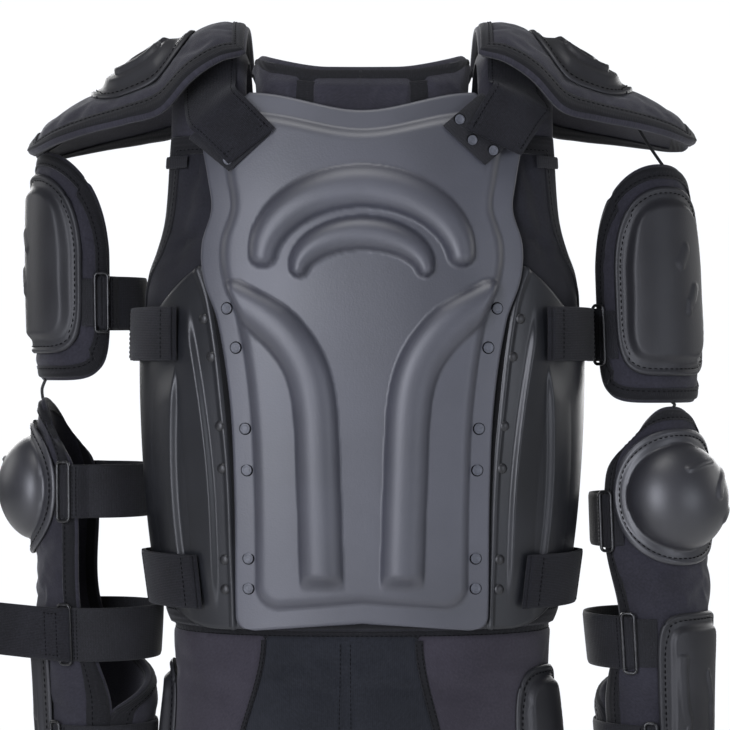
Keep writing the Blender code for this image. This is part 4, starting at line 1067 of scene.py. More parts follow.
def makeCollar():
    angle, b = np.meshgrid(np.linspace(0, 360, collar["columns"], endpoint=False),
                           np.linspace(-1, 1, collar["rows"]))
    near = np.minimum.reduce([fromFront(angle - place) for place in collar["dividers"]])
    turn = fromFront(angle)
    tall = np.maximum(1 - ease(turn, *collar["climb"]), ease(turn, *collar["fall"]))
    puffed = tall * ease(near, 1.5, 6) * ease(1 - np.abs(b + 0.05), 0.12, 0.45)
    outer = collarPoint(angle, b, collar["wall"] + collar["puff"] * puffed - 1.2 * mm * (1 - puffed))
    inner = collarPoint(angle, b, 0)
    pad = wallMesh("collar_cloth", inner, outer, nylon, ring=True)
    weight = np.ones(len(pad.data.vertices))
    weight[angle.size:2 * angle.size] = 1 - 0.8 * puffed.ravel()
    swell(pad, weight, 1.5 * mm, 3.0)
    settle(pad, "nylon_padding", "collar")
    # Binding round the upper edge, and the webbing dividers between the segments.
    turn = np.linspace(0, 360, 240, endpoint=False)
    stations = []
    for drop, off in ((0.24, -0.2), (0.24, 1.0), (0.10, 1.4), (0.0, 1.0)):
        stations.append(collarPoint(turn, 1 - 2 * drop, collar["wall"] + off * mm - 1.2 * mm))
    stations.append(collarPoint(turn, 1, collar["wall"] / 2) + np.array((0, 0, 1.8 * mm)))
    for drop, off in ((0.0, 1.0), (0.10, 1.3), (0.24, 1.0), (0.24, -0.2)):
        stations.append(collarPoint(turn, 1 - 2 * drop, -off * mm))
    settle(sweepLoop("collar_binding", np.stack(stations, axis=1), binding), "nylon_padding")
    for number, place in enumerate((-27, 27)):
        def strip(a, t, off, place=place):
            return collarPoint(place + a * 4.8, -0.9 + 1.5 * t, collar["wall"] + 0.2 * mm + off)

        makeBand("collar_divider_%d" % number, strip, 1.6 * mm, (7, 20), binding, "webbing")


yoke = {"inner": 107 * mm, "outer": 174 * mm, "wall": 8 * mm, "sink": 16 * mm, "over": 139 * mm,
        "room": 1.2 * mm}


def yokeArc(x, turn, off):
    x, turn, off = (np.asarray(v, float) for v in (x, turn, off))
    depth = np.abs(torsoFront(x, -vest["top"], 0)[..., 1])
    ridge = cap["ridge"] * lookUp(cap["sections"], (x - cap["start"]) / cap["length"])
    height = ridge + vest["top"] - yoke["wall"] - webbed["wall"] - clear["play"] - yoke["room"]
    height = height - yoke["sink"] * (1 - ease(x, yoke["inner"], yoke["over"] - webbed["width"] / 2))
    return spots(x, (depth + off) * np.sin(np.radians(turn)),
                 -vest["top"] + clear["gap"] + (height + off) * np.cos(np.radians(turn)))


def makeYokes(side, sign):
    def surface(a, b, off):
        x = (yoke["inner"] + yoke["outer"]) / 2 + a * (yoke["outer"] - yoke["inner"]) / 2
        return flip(yokeArc(x, b * 90, off), sign)

    form = {"inner": 0.0, "thick": yoke["wall"], "edge": 0.7, "columns": 22, "rows": 60, "most": 1 * mm,
            "fill": 0.4}
    makePad("yoke_cloth_" + side, form, surface, nylon, "yoke_" + side, held=lambda a, b: 0.6)


sidePlate = {
    "angles": (45, 84), "top": (176 * mm, 238 * mm), "low": (505 * mm, 462 * mm), "ribRise": 4.5 * mm,
    "ribs": (
        # top, foot, bow, start, end, half width in shares
        (0.37, 0.29, -0.09, 0.08, 0.96, 0.15), (0.44, 0.50, 0.05, 0.20, 1.00, 0.17),
    ),
    "bead": (
        # height, share of the width
        (0.00, 0.300), (0.10, 0.215), (0.24, 0.153), (0.38, 0.122), (0.52, 0.104), (0.66, 0.108),
        (0.82, 0.128), (1.00, 0.150),
    ),
    "columns": 132, "rows": 120,
}


def sidePlatePoint(across, b, off):
    first, last = sidePlate["angles"]
    (topIn, topOut), (lowIn, lowOut) = sidePlate["top"], sidePlate["low"]
    top = topIn + (topOut - topIn) * ease(across, 0.15, 0.9)
    low = lowIn + (lowOut - lowIn) * ease(across, 0.25, 1.0) ** 1.5
    return torsoPoint(first + (last - first) * across, -(top + (low - top) * b), off)


def makeSidePlate(side, sign):
    across, b = patchGrid(sidePlate, 0, 0)
    height = np.zeros(across.shape)
    for top, foot, bow, start, end, half in sidePlate["ribs"]:
        along = np.clip((b - start) / (end - start), 0, 1)
        middle = top + (foot - top) * along + bow * np.sin(math.pi * along)
        # Each rib climbs slowly from the plate's outer side and drops sharply on the inner one.
        offset = (across - middle) / half
        profile = np.where(offset < 0, 1 - ease(-offset, 0.0, 0.24), np.clip(1 - offset / 1.2, 0, 1))
        fade = ease(np.minimum(b - start, end - b) / (end - start), 0.0, 0.16)
        height = np.maximum(height, sidePlate["ribRise"] * profile * fade)
    # A bead runs along the inner edge, and the sheet inside it lies low.
    bead = lookUp(sidePlate["bead"], b)
    height = np.maximum(height, 1.3 * mm * bump(across, bead, 0.030))
    height = height - 1.6 * mm * (1 - ease(across, bead - 0.035, bead - 0.015))
    base = vestWall + clear["play"]
    inner = flip(sidePlatePoint(across, b, base), sign)
    outer = flip(sidePlatePoint(across, b, base + sideWall + height), sign)
    settle(wallMesh("side_plate_pressed_" + side, inner, outer, plateBlack, smoothAngle=0),
           "moulded_black_plate", "side_plate_" + side)

    # A black felt strip between the bead and the chest plate: the vest cloth seen in the gap, painted
    # near-black for the shade in that gap
    def gapStrip(a, t, off):
        place = 0.02 + 0.93 * t
        share = lookUp(sidePlate["bead"], place) - 0.065 + 0.035 * a
        ragged = 0.35 * mm * np.sin(190 * t + 3 * a) * (a < 0.9)
        return flip(sidePlatePoint(share, place, base + sideWall - 1.5 * mm + off + ragged), sign)

    makeBand("side_plate_edging_" + side, gapStrip, 1.2 * mm, (5, 150), feltGapShade, "moulded_black_plate")


backPlate = {
    "half": 125 * mm, "top": 95 * mm, "low": 465 * mm, "wall": 4 * mm, "rim": 14 * mm, "slope": 6 * mm,
    "fieldRise": 2.2 * mm, "ribRise": 2.6 * mm, "ribs": (-0.42, 0.0, 0.42), "columns": 84, "rows": 110,
    "rivets": (-0.86, -0.45, 0.0, 0.45, 0.86),
}


def backPoint(a, b, off):
    p, q = rounded(a, b, 5)
    z = -(backPlate["top"] + backPlate["low"]) / 2 + q * (backPlate["low"] - backPlate["top"]) / 2
    return torsoBack(p * backPlate["half"], z, off)


def makeBackPlate():
    a, b = patchGrid(backPlate)
    halfTall = (backPlate["low"] - backPlate["top"]) / 2
    edge = np.minimum((1 - np.abs(a)) * backPlate["half"], (1 - np.abs(b)) * halfTall)
    field = ease(edge, backPlate["rim"], backPlate["rim"] + backPlate["slope"])
    # Three plain lengthwise ribs stiffen the sheet.
    ribs = sum(bump(a, place, 0.09) for place in backPlate["ribs"]) * (1 - ease(np.abs(b), 0.62, 0.74))
    relief = field * (backPlate["fieldRise"] + backPlate["ribRise"] * np.minimum(ribs, 1))
    base = vestWall + clear["loose"]
    inner, outer = backPoint(a, b, base), backPoint(a, b, base + backPlate["wall"] + relief)
    settle(wallMesh("back_plate_pressed", inner, outer, plateGrey, smoothAngle=0), "moulded_grey_plate",
           "back_plate")
    p, q = np.array([(p, q) for q in backPlate["rivets"] for p in (-0.93, 0.93)]).T
    setRivets("back_rivets", lambda off: backPoint(p, q, off), base + backPlate["wall"], "flat", 5.2 * mm,
              rivetGrey, "moulded_grey_plate")


plateRivets = {
    # drops in mm, distance from the chest plate's edge in mm at its top, and its fall down to the hem
    "chest": ((218, 253, 325, 362, 441, 468), -10, 0),
    "side": ((227, 261, 323, 361, 443, 470), 16, 5),
}


# The rivet rows along both of the chest plate's edges
def setPlateRivets():
    def rows(kind):
        drops, aside, fall = plateRivets[kind]
        z = -np.array(drops + drops) * mm
        share = chestShare(z)
        x = np.repeat((-1, 1), len(drops)) * (chestHalf(share) + (aside - fall * share) * mm)
        return lambda off: torsoFront(x, z, off)

    # Each chest rivet gets a flat head and, under it, a wider near-black seat disc that paints the shadow
    # ring round the head.
    for name, head, finish in (("chest_rivets", "flat", rivetGrey), ("chest_rivet_seats", "seat", threadAndShade)):
        setRivets(name, rows("chest"), chestBase + chest["wall"], head, 4.7 * mm, finish,
                  "moulded_grey_plate")
    setRivets("side_rivets", rows("side"), vestWall + clear["play"] + sideWall, "dome", 4.6 * mm, rivetBlack,
              "moulded_black_plate")


webbed = {
    "width": 48 * mm, "wall": 2.4 * mm, "anchorLength": 44 * mm, "anchorLean": 44,
    "anchorFeet": {"left": (94 * mm, 78 * mm), "right": (86 * mm, 72.5 * mm)},
    "strapFeet": {"left": (92 * mm, 73 * mm), "right": (109 * mm, 69 * mm)},
    "anchorRivets": {
        # across, along in shares of the patch
        "left": ((-0.72, 0.16), (0.0, 0.16), (0.72, 0.16)),
        "right": ((-0.80, 0.30), (0.05, 0.17), (0.80, 0.30)),
    },
    "strapLeans": {"left": 49, "right": 62}, "strapRise": 48 * mm, "backLow": 125 * mm,
    "turns": (-60, -45, -30, -15, 0, 15, 30, 45, 60, 75),
    "sideStraps": (
        # name, drop, front end, back end, share of the vest's wall under the back end
        ("upper", 240 * mm, 61, 112, 0.72),
        ("lower", 464 * mm, 59, 112, 0.80),
    ),
}


def makeShoulderWebbing(side, sign):
    field = chestBase + chest["wall"] + chest["fieldRise"] + clear["play"]
    foot = webbed["anchorFeet"][side]
    lean = math.radians(webbed["anchorLean"])
    dx, dz = math.cos(lean), math.sin(lean)

    def patchSurface(a, b, off):
        along = webbed["anchorLength"] * b
        x = foot[0] + dx * along + dz * a * webbed["width"] / 2
        z = -foot[1] + dz * along - dx * a * webbed["width"] / 2
        return flip(torsoFront(x, z, field + off), sign)

    makeBand("anchor_patch_" + side, patchSurface, webbed["wall"], (26, 26), webbing, "webbing",
             "strap_anchor_" + side)
    p, q = np.array(webbed["anchorRivets"][side]).T
    # Each anchor rivet gets a flat head and a wider near-black seat disc under it that paints the shadow ring
    # round the head.
    for name, head, finish in (("rivets_", "flat", rivetGrey), ("rivet_seats_", "seat", threadAndShade)):
        setRivets("anchor_" + name + side, lambda off: patchSurface(p, q, off), webbed["wall"], head,
                  4.4 * mm, finish, "webbing")

    over = field + webbed["wall"] + clear["play"]
    lean = math.radians(webbed["strapLeans"][side])
    cx, cz = math.cos(lean), math.sin(lean)
    base = webbed["strapFeet"][side]

    def strapRows(aside, off):
        rows = []
        for share in (0.0, 0.35, 0.70, 1.0):
            along = share * webbed["strapRise"]
            x, z = base[0] + cx * along + cz * aside, -base[1] + cz * along - cx * aside
            rows.append(torsoFront(x, z, over + off))
        for turn in webbed["turns"]:
            rows.append(yokeArc(yoke["over"] + aside, turn, yoke["wall"] + clear["play"] + off))
        rows.append(torsoBack(yoke["over"] + aside, -webbed["backLow"], vestWall + clear["loose"] + off))
        return flip(smoothLine(rows, 130), sign)

    across = np.linspace(-1, 1, 17)
    full = webbed["wall"] * (1 - 0.45 * ease(np.abs(across), 0.86, 1))
    inner, outer = (strapRows(across * webbed["width"] / 2, off) for off in (0.1 * mm, full))
    settle(wallMesh("shoulder_strap_pile_" + side, inner, outer, loopPile), "webbing",
           "shoulder_strap_" + side)
    rows = strapRows(np.array((-0.86, 0.86)) * webbed["width"] / 2, 2.6 * mm)
    lines = [rows[2:60, 0], rows[2:60, 1], np.linspace(rows[3, 0], rows[3, 1], 12)]
    sewRows("shoulder_strap_stitches_" + side, lines, "webbing", "strap")


def makeSideStraps(side, sign):
    base = vestWall + sideWall + sidePlate["ribRise"] + 2 * clear["play"]
    for name, drop, frontEnd, backEnd, seat in webbed["sideStraps"]:
        def surface(a, b, off, drop=drop, frontEnd=frontEnd, backEnd=backEnd, seat=seat):
            angle = frontEnd + (backEnd - frontEnd) * b
            offPlate = ease(angle, sidePlate["angles"][1] + 1, sidePlate["angles"][1] + 10)
            ride = base * (1 - offPlate) + (seat * vestWall + clear["gap"]) * offPlate
            return flip(torsoPoint(angle, -drop + a * webbed["width"] / 2, ride + off), sign)

        label = "side_strap_%s_%s" % (name, side)
        makeBand(label + "_pile", surface, webbed["wall"], (21, 60), loopPile, "webbing", label)

        # A second layer where the end is folded back on itself and sewn
        def fold(a, b, off, surface=surface):
            return surface(a * 0.995, 0.015 + b * 0.55, 2.5 * mm + off + 0.5 * mm * (1 - ease(b, 0.0, 0.12)))

        makeBand(label + "_fold", fold, 1.4 * mm, (21, 40), loopPile, "webbing")
        lines = crossRows(surface, (0.075,), 0.86, 14, 4.6 * mm)
        lines += crossRows(surface, (0.42,), 0.86, 14, 4.3 * mm)
        sewRows(label + "_stitches", lines, "webbing", "strap")


cap = {
    "start": 108 * mm, "length": 200 * mm, "ridge": 42 * mm, "halfDepth": 108 * mm, "drop": 66 * mm,
    "power": 2.2, "swing": 22 * mm, "lift": {"left": 8 * mm, "right": 17 * mm},
    "sections": (
        # along, ridge, depth, drop
        (0.00, 1.00, 0.80, 0.46), (0.10, 0.95, 0.94, 0.54), (0.22, 0.70, 1.00, 0.64),
        (0.35, 0.24, 1.00, 0.78), (0.52, -0.30, 0.92, 0.60), (0.70, -0.76, 0.80, 0.44),
        (0.85, -1.20, 0.64, 0.30), (0.94, -1.52, 0.46, 0.20), (1.00, -1.76, 0.26, 0.10),
    ),
    "pad": {"inner": 0.0, "thick": 12 * mm, "edge": 0.6, "columns": 48, "rows": 46, "most": 3 * mm,
            "fill": 0.55},
    "shell": {"inner": 12 * mm + 1.6 * mm, "wall": 3 * mm, "rise": 8 * mm, "flange": 9 * mm, "slope": 13 * mm,
              "power": 3.2, "columns": 104, "rows": 96},
    "shellAlong": (0.21, 0.69), "shellShare": 0.78, "ribRise": 4.5 * mm,
    "ribs": (((-0.56, -0.55), (-0.60, -0.1), (-0.56, 0.40)), ((0.56, -0.50), (0.60, -0.1), (0.56, 0.40))),
    "wave": ((-0.30, -0.60), (-0.18, -0.30), (-0.26, 0.0), (-0.05, 0.26), (0.12, 0.15)),
}


def capBase(side, s, v):
    x = cap["start"] + cap["length"] * s
    y = cap["halfDepth"] * lookUp(cap["sections"], s, 2) * v + cap["swing"] * s
    z = cap["ridge"] * lookUp(cap["sections"], s) + cap["lift"][side] * s ** 2
    z = z - cap["drop"] * lookUp(cap["sections"], s, 3) * np.abs(v) ** cap["power"]
    return spots(x, y, z)


def capPoint(side, s, v, off):
    s, v, off = (np.asarray(x, float) for x in (s, v, off))
    eps = 0.004
    ds = capBase(side, np.minimum(s + eps, 1), v) - capBase(side, np.maximum(s - eps, 0), v)
    dv = capBase(side, s, v + eps) - capBase(side, s, v - eps)
    n = np.cross(ds, dv)
    return capBase(side, s, v) + n / np.linalg.norm(n, axis=-1)[..., None] * off[..., None]


def makeCap(side, sign):
    first, last = cap["shellAlong"]

    def surface(a, b, off):
        return flip(capPoint(side, (b + 1) / 2, a, off), sign)

    def underShell(a, b):
        s = (b + 1) / 2
        q = (s - first) / (last - first) * 2 - 1
        reach = squareReach(np.clip(a / cap["shellShare"], -2, 2), np.clip(q, -2, 2), cap["shell"]["power"])
        return 1 - ease(reach, 0.95, 1.0)

    makePad("shoulder_cap_cloth_" + side, cap["pad"], surface, nylon, "shoulder_cap_" + side,
            held=lambda a, b: 0.9 * underShell(a, b))
    bindEdge("shoulder_cap_" + side, cap["pad"], surface, 90, 13 * mm)

    def shellSurface(a, b, off):
        p, q = rounded(a, b, cap["shell"]["power"])
        return flip(capPoint(side, first + (last - first) * (q + 1) / 2, p * cap["shellShare"], off), sign)

    def marks(a, b):
        ribs = stroke(a, b, *((line, 0.085) for line in cap["ribs"]))
        return cap["ribRise"] * np.maximum(ribs, 0.8 * stroke(a, b, (smoothRoute(cap["wave"], 24), 0.075)))

    makeShell("shoulder_shell_moulded_" + side, cap["shell"], shellSurface, "shoulder_shell_" + side, marks)


padWall = 10 * mm
upperArm = {
    "drop": {"left": 9 * mm, "right": 22 * mm}, "height": {"left": 211 * mm, "right": 219 * mm},
    "angle": 79, "shellAngle": 53, "shellInset": (20 * mm, 24 * mm), "turn": {"left": 61, "right": 29},
    "strapDrop": {"left": 141 * mm, "right": 158 * mm},
    "marks": ((((0.10, 0.30), (0.26, 0.62)), 0.10), (((0.26, -0.52), (0.40, -0.12)), 0.09)),
    "pad": {"inner": 0.0, "thick": padWall, "edge": 0.6, "columns": 34, "rows": 46, "most": 2.5 * mm,
            "fill": 0.55},
    "shell": {"inner": padWall + 0.8 * mm, "wall": 3 * mm, "rise": 7 * mm, "flange": 9 * mm, "slope": 10 * mm,
              "power": 3.4, "columns": 80, "rows": 112},
}
strap = {"wall": 2.4 * mm, "width": 48 * mm, "lap": 13, "ride": 16, "ringLap": 7, "wire": 1.5 * mm,
         "margin": 3.5 * mm, "ringWidth": 12 * mm, "corner": 3.5 * mm,
         "upperSeat": 0.77 * padWall + clear["gap"], "elbowSeat": 0.88 * padWall + clear["gap"],
         "sleeveSeat": padWall + clear["play"]}


def makeRing(name, side, turn, z, seat, node):
    off = seat + strap["wall"] + clear["play"] + strap["wire"]
    halfTall = strap["width"] / 2 + strap["margin"]
    halfWide = strap["ringWidth"] / 2
    radius = arm["radius"] + off
    route = []
    for quarter, (cx, cz) in enumerate(((1, 1), (-1, 1), (-1, -1), (1, -1))):
        for step in range(6):
            angle = math.pi / 2 * (quarter + step / 5)
            across = cx * (halfWide - strap["corner"]) + strap["corner"] * math.cos(angle)
            up = cz * (halfTall - strap["corner"]) + strap["corner"] * math.sin(angle)
            route.append(armPoint(side, turn + math.degrees(across / radius), z + up, off))
    settle(tubeMesh(name, route, strap["wire"], wire, closed=True), "black_wire", node)


# An elastic strap round the back of the arm, from one side of a pad or shell to the other
def makeArmStrap(name, side, middle, half, z, seat, onSleeve=False):
    start, end = -half, -360 + half
    span = abs(end - start)

    def surface(a, b, off):
        turn = middle + start + (end - start) * b
        near = np.minimum(b, 1 - b) * span
        ride = 1 if onSleeve else 1 - ease(near, strap["lap"], strap["lap"] + strap["ride"])
        return armPoint(side, turn, z + a * strap["width"] / 2, seat * ride + off)

    makeBand(name + "_elastic", surface, strap["wall"], (17, 150), webbing, "webbing", name, thin=0.7)
    lines = crossRows(surface, (14 / span, 17 / span), 0.9, 14, strap["wall"] + 0.2 * mm)
    sewRows(name + "_stitches", lines, "webbing", "elastic")


def makeUpperArm(side):
    top = -arm["top"] - upperArm["drop"][side]
    height = upperArm["height"][side]
    turn = upperArm["turn"][side]

    def surface(a, b, off):
        p, q = softCorners(a, b, 6, 2.2)
        return armPoint(side, turn + p * upperArm["angle"], top - height / 2 + q * height / 2, off)

    def underShell(a, b):
        shellShare = upperArm["shellAngle"] / upperArm["angle"]
        return 1 - ease(np.maximum(np.abs(a) / shellShare, np.abs(b) / 0.80), 0.95, 1.0)

    makePad("upper_arm_cloth_" + side, upperArm["pad"], surface, nylon, "upper_arm_pad_" + side,
            held=lambda a, b: 0.95 * underShell(a, b))
    bindEdge("upper_arm_" + side, upperArm["pad"], surface, 70)
    shellTop, shellLow = top - upperArm["shellInset"][0], top - height + upperArm["shellInset"][1]

    def shellSurface(a, b, off):
        p, q = softCorners(a, b, 5, 2.4)
        z = (shellTop + shellLow) / 2 + q * (shellTop - shellLow) / 2
        return armPoint(side, turn + p * upperArm["shellAngle"], z, off)

    def marks(a, b):
        return 1.8 * mm * stroke(a, b * 1.6, *upperArm["marks"])

    makeShell("upper_arm_shell_moulded_" + side, upperArm["shell"], shellSurface, "upper_arm_shell_" + side,
              marks)
    z = top - upperArm["strapDrop"][side]
    makeArmStrap("upper_arm_strap_" + side, side, turn, upperArm["angle"] - strap["lap"], z,
                 strap["upperSeat"])
    ringTurn = turn - upperArm["angle"] + strap["ringLap"]
    makeRing("upper_arm_wire_" + side, side, ringTurn, z, strap["upperSeat"], "upper_arm_ring_" + side)
    makeTab("upper_arm_" + side, side, ringTurn, turn - upperArm["shellAngle"] - 1, z, padWall + 0.2 * mm)


lowerArm = {
    "top": {"left": 242 * mm, "right": 250 * mm}, "low": 596 * mm, "angle": 77,
    "elbowTurn": {"left": 95, "right": 30}, "turn": {"left": 95, "right": 47},
    "edges": (
        # height, inner, outer
        (0.00, 42, -42), (0.06, 60, -60), (0.16, 72, -72), (0.27, 77, -77), (0.56, 79, -79),
        (0.68, 96, -118), (0.77, 109, -205), (0.82, 112, -246), (1.00, 112, -246),
    ),
    "pad": {"inner": 0.0, "thick": padWall, "edge": 0.6, "columns": 42, "rows": 56, "most": 2.5 * mm,
            "fill": 0.5},
    "cup": {"inner": padWall + 1.6 * mm, "wall": 3 * mm, "rise": 31 * mm, "columns": 98, "rows": 98,
            "angle": 61, "halfHeight": 62 * mm, "rim": 0.80, "power": 2.15,
            "drop": {"left": 324 * mm, "right": 331 * mm},
            "arcs": (
                # line, stations, half width
                (((0.22, 0.02), (0.26, 0.20), (0.42, 0.36), (0.62, 0.44)), 20, 0.055),
                (((-0.10, 0.44), (0.06, 0.52), (0.26, 0.56)), 12, 0.05),
                (((0.40, -0.36), (0.50, -0.22), (0.64, -0.16)), 12, 0.05),
            )},
    "shell": {"inner": padWall + 0.8 * mm, "wall": 3 * mm, "rise": 5 * mm, "flange": 9 * mm, "slope": 7 * mm,
              "power": 5, "columns": 80, "rows": 110},
    "shellTop": 440 * mm, "shellHeight": 140 * mm, "shellAngle": 44,
    "elbowStrap": {"left": 326 * mm, "right": 354 * mm}, "strap": {"left": 458 * mm, "right": 466 * mm},
    "wrist": 567 * mm, "endLap": 6, "endLength": 82 * mm, "endRise": 0.03,
    "crease": (((-0.5, 0.02), (-0.1, 0.06), (0.2, 0.0)), 0.05),
    "marks": ((((-0.55, 0.45), (-0.50, -0.1), (-0.42, -0.7)), 0.10),
              (((0.15, 0.2), (0.30, -0.1), (0.32, -0.6)), 0.08)),
}


def makeLowerArm(side):
    top, low = -arm["top"] - lowerArm["top"][side], -arm["top"] - lowerArm["low"]
    height = top - low
    first, last = lowerArm["elbowTurn"][side], lowerArm["turn"][side]

    def surface(a, b, off):
        share = (b + 1) / 2
        inner, outer = lookUp(lowerArm["edges"], share, 1), lookUp(lowerArm["edges"], share, 2)
        turn = first + (last - first) * ease(share, 0.35, 0.6) - (inner + (outer - inner) * (a + 1) / 2)
        z = top - height * share - 26 * mm * (1 - ease(share, 0.0, 0.2)) * np.abs(a) ** 2.5
        return armPoint(side, turn, z, off)

    # Shallow folds below the elbow and at the wrist
    def creases(a, b):
        waves = 0.8 * mm * np.sin(9 * b + 3 * a) + 0.6 * mm * np.sin(21 * b - 7 * a)
        return awayFromEdge(a, b, 0.04, 0.16) * (waves - 1.2 * mm * stroke(a, b, lowerArm["crease"]))

    makePad("forearm_cloth_" + side, lowerArm["pad"], surface, nylon, "forearm_pad_" + side,
            held=lambda a, b: 0.3, extra=creases)
    bindEdge("forearm_" + side, lowerArm["pad"], surface, 100, 10 * mm)

    cup = lowerArm["cup"]
    cupZ = -arm["top"] - cup["drop"][side]

    def cupSurface(a, b, off):
        p, q = rounded(a, b, cup["power"])
        return armPoint(side, first + p * cup["angle"], cupZ + q * cup["halfHeight"], off)

    a, b = patchGrid(cup)
    p, q = rounded(a, b, cup["power"])
    reach = np.minimum(np.hypot(p, q), 1.0)
    lift = cup["rise"] * np.maximum(1 - (np.minimum(reach, cup["rim"]) / cup["rim"]) ** 2, 0) ** 0.62
    edge = (1 - reach) * cup["halfHeight"]
    relief = 0.9 * mm * bump(edge, 1.6 * mm, 1.6 * mm) - 0.5 * mm * bump(edge, 5 * mm, 1.6 * mm)
    arcs = ((smoothRoute(line, count), half) for line, count, half in cup["arcs"])
    relief = relief + 2.2 * mm * stroke(p, q, *arcs)
    inner = cupSurface(a, b, cup["inner"] + 0.93 * lift)
    outer = cupSurface(a, b, cup["inner"] + cup["wall"] + lift + relief)
    settle(wallMesh("elbow_cup_moulded_" + side, inner, outer, cupBlack, smoothAngle=0), "moulded_shell",
           "elbow_cup_" + side)
    p, q = borderLoop(50)
    line = cupSurface(p * 0.92, q * 0.92, cup["inner"] + cup["wall"] + 0.2 * mm)
    sewRows("elbow_cup_stitches_" + side, [line], "moulded_shell", "cup", closed=True)

    shellTop = -arm["top"] - lowerArm["shellTop"]
    shellLow = shellTop - lowerArm["shellHeight"]

    def shellSurface(a, b, off):
        p, q = rounded(a, b, 5)
        z = (shellTop + shellLow) / 2 + q * lowerArm["shellHeight"] / 2
        return armPoint(side, last + p * lowerArm["shellAngle"], z, off)

    def marks(a, b):
        return 2.0 * mm * stroke(a, b, *lowerArm["marks"])

    makeShell("forearm_shell_moulded_" + side, lowerArm["shell"], shellSurface, "forearm_shell_" + side,
              marks)

    straps = (
        # name, drop, turn, seat, whether it lies on the sleeve, the tab's end and its height over the arm
        ("elbow", lowerArm["elbowStrap"][side], first, strap["elbowSeat"], False, first - cup["angle"] + 6,
         padWall + 0.2 * mm),
        ("forearm", lowerArm["strap"][side], last, strap["sleeveSeat"], True,
         last - lowerArm["shellAngle"] - 1, padWall + 0.4 * mm),
    )
    for name, drop, turn, seat, onSleeve, tabEnd, tabSeat in straps:
        z = -arm["top"] - drop
        ringTurn = turn - lowerArm["angle"] + strap["ringLap"]
        makeArmStrap("%s_strap_%s" % (name, side), side, turn, lowerArm["angle"] - strap["lap"], z, seat,
                     onSleeve)
        makeRing("%s_wire_%s" % (name, side), side, ringTurn, z, seat, "%s_ring_%s" % (name, side))
        makeTab("%s_%s" % (name, side), side, ringTurn, tabEnd, z, tabSeat)
    wristZ = -arm["top"] - lowerArm["wrist"]
    clearTurn = lowerArm["shellAngle"] + 3
    makeArmStrap("wrist_strap_" + side, side, last, clearTurn, wristZ, strap["sleeveSeat"], onSleeve=True)
    makeRing("wrist_wire_" + side, side, last - clearTurn - strap["ringLap"], wristZ, strap["sleeveSeat"],
             "wrist_ring_" + side)


def makeStrapEnd():
    side, sign = "left", -1
    z = -arm["top"] - lowerArm["strap"][side]
    ringTurn = lowerArm["turn"][side] - lowerArm["angle"] + strap["ringLap"]
    over = strap["sleeveSeat"] + strap["wall"] + 2 * strap["wire"] + 2 * clear["play"]
    turns = (ringTurn - lowerArm["endLap"], ringTurn + lowerArm["endLap"])
    straight = 8
    ahead = math.radians(turns[1])
    out = np.array((sign * math.cos(ahead), math.sin(ahead), lowerArm["endRise"]))

    # Round the arm for the first share of its length, and straight on from there
    def surface(a, b, off):
        along = b * (1 + straight)
        turn = turns[0] + (turns[1] - turns[0]) * np.minimum(along, 1)
        run = lowerArm["endLength"] * np.maximum(along - 1, 0) / straight
        return armPoint(side, turn, z + a * strap["width"] / 2, over + off) + out * run[..., None]

    makeBand("forearm_strap_end_pile", surface, strap["wall"], (21, 64), loopPile, "webbing",
             "forearm_strap_end_left", thin=0.6)
    # A box of stitches
    lift, places = strap["wall"] + 0.2 * mm, (0.10, 0.24)
    lines = crossRows(surface, places, 0.8, 12, lift)
    lines += [surface(up, np.linspace(*places, 6), lift) for up in (-0.8, 0.8)]
    sewRows("forearm_strap_end_stitches", lines, "webbing", "elastic")


cordForm = {"radius": 1.5 * mm, "end": 0.72}


def makeCord(name, side, start, end, sag):
    route = smoothRoute([start, (start + end) / 2 + np.array(sag), end], 24)
    settle(tubeMesh("%s_round_%s" % (name, side), route, cordForm["radius"], elastic), "elastic_cord",
           "%s_%s" % (name, side))


def makeCords(side, sign):
    reach = cordForm["radius"] + clear["gap"]
    topZ = -arm["top"] - upperArm["drop"][side]
    lowZ = -arm["top"] - lowerArm["top"][side] + reach
    turn = upperArm["turn"][side]
    top = armPoint(side, turn, topZ + cordForm["radius"], padWall / 2)
    tip = flip(capPoint(side, cordForm["end"], 0.0, -reach), sign)
    makeCord("shoulder_cord", side, top, tip, (0, 0, -2 * mm))
    low = armPoint(side, turn, topZ - upperArm["height"][side] - reach, padWall / 2)
    elbow = armPoint(side, lowerArm["elbowTurn"][side], lowZ, padWall / 2)
    makeCord("elbow_cord", side, low, elbow, (sign * 2 * mm, 0, 0))


hips = {
    "beltHeight": 30 * mm, "beltWall": 5 * mm, "beltPlay": 0.9 * mm, "beltLap": 20 * mm, "turn": 8,
    "wall": 8 * mm, "groinAngle": 41, "groinWaist": 0.19, "groinLength": 205 * mm, "thighAngle": 96,
    "thighLength": 290 * mm, "shellAngles": (68, 94), "shellDrop": 30 * mm, "shellHeight": 175 * mm,
    "seam": 0.9, "seamWidth": {"left": 0.05, "right": 0.10},
    "panel": {"thick": 8 * mm, "edge": 0.85, "fall": 10, "columns": 42, "rows": 40, "most": 1.6 * mm,
              "fill": 0.4},
    "shell": {"wall": 3 * mm, "rise": 8 * mm, "flange": 8 * mm, "slope": 8 * mm, "power": 3.5,
              "columns": 60, "rows": 120},
}


# Half angle of the middle panel at a depth below the belt: it widens, then narrows to its foot
def groinEdge(depth):
    share = depth / hips["groinLength"]
    return (hips["groinAngle"] * (1 - hips["groinWaist"] * (1 - ease(share, 0.0, 0.55)))
            * (1 - 0.35 * ease(share, 0.6, 1.0)))


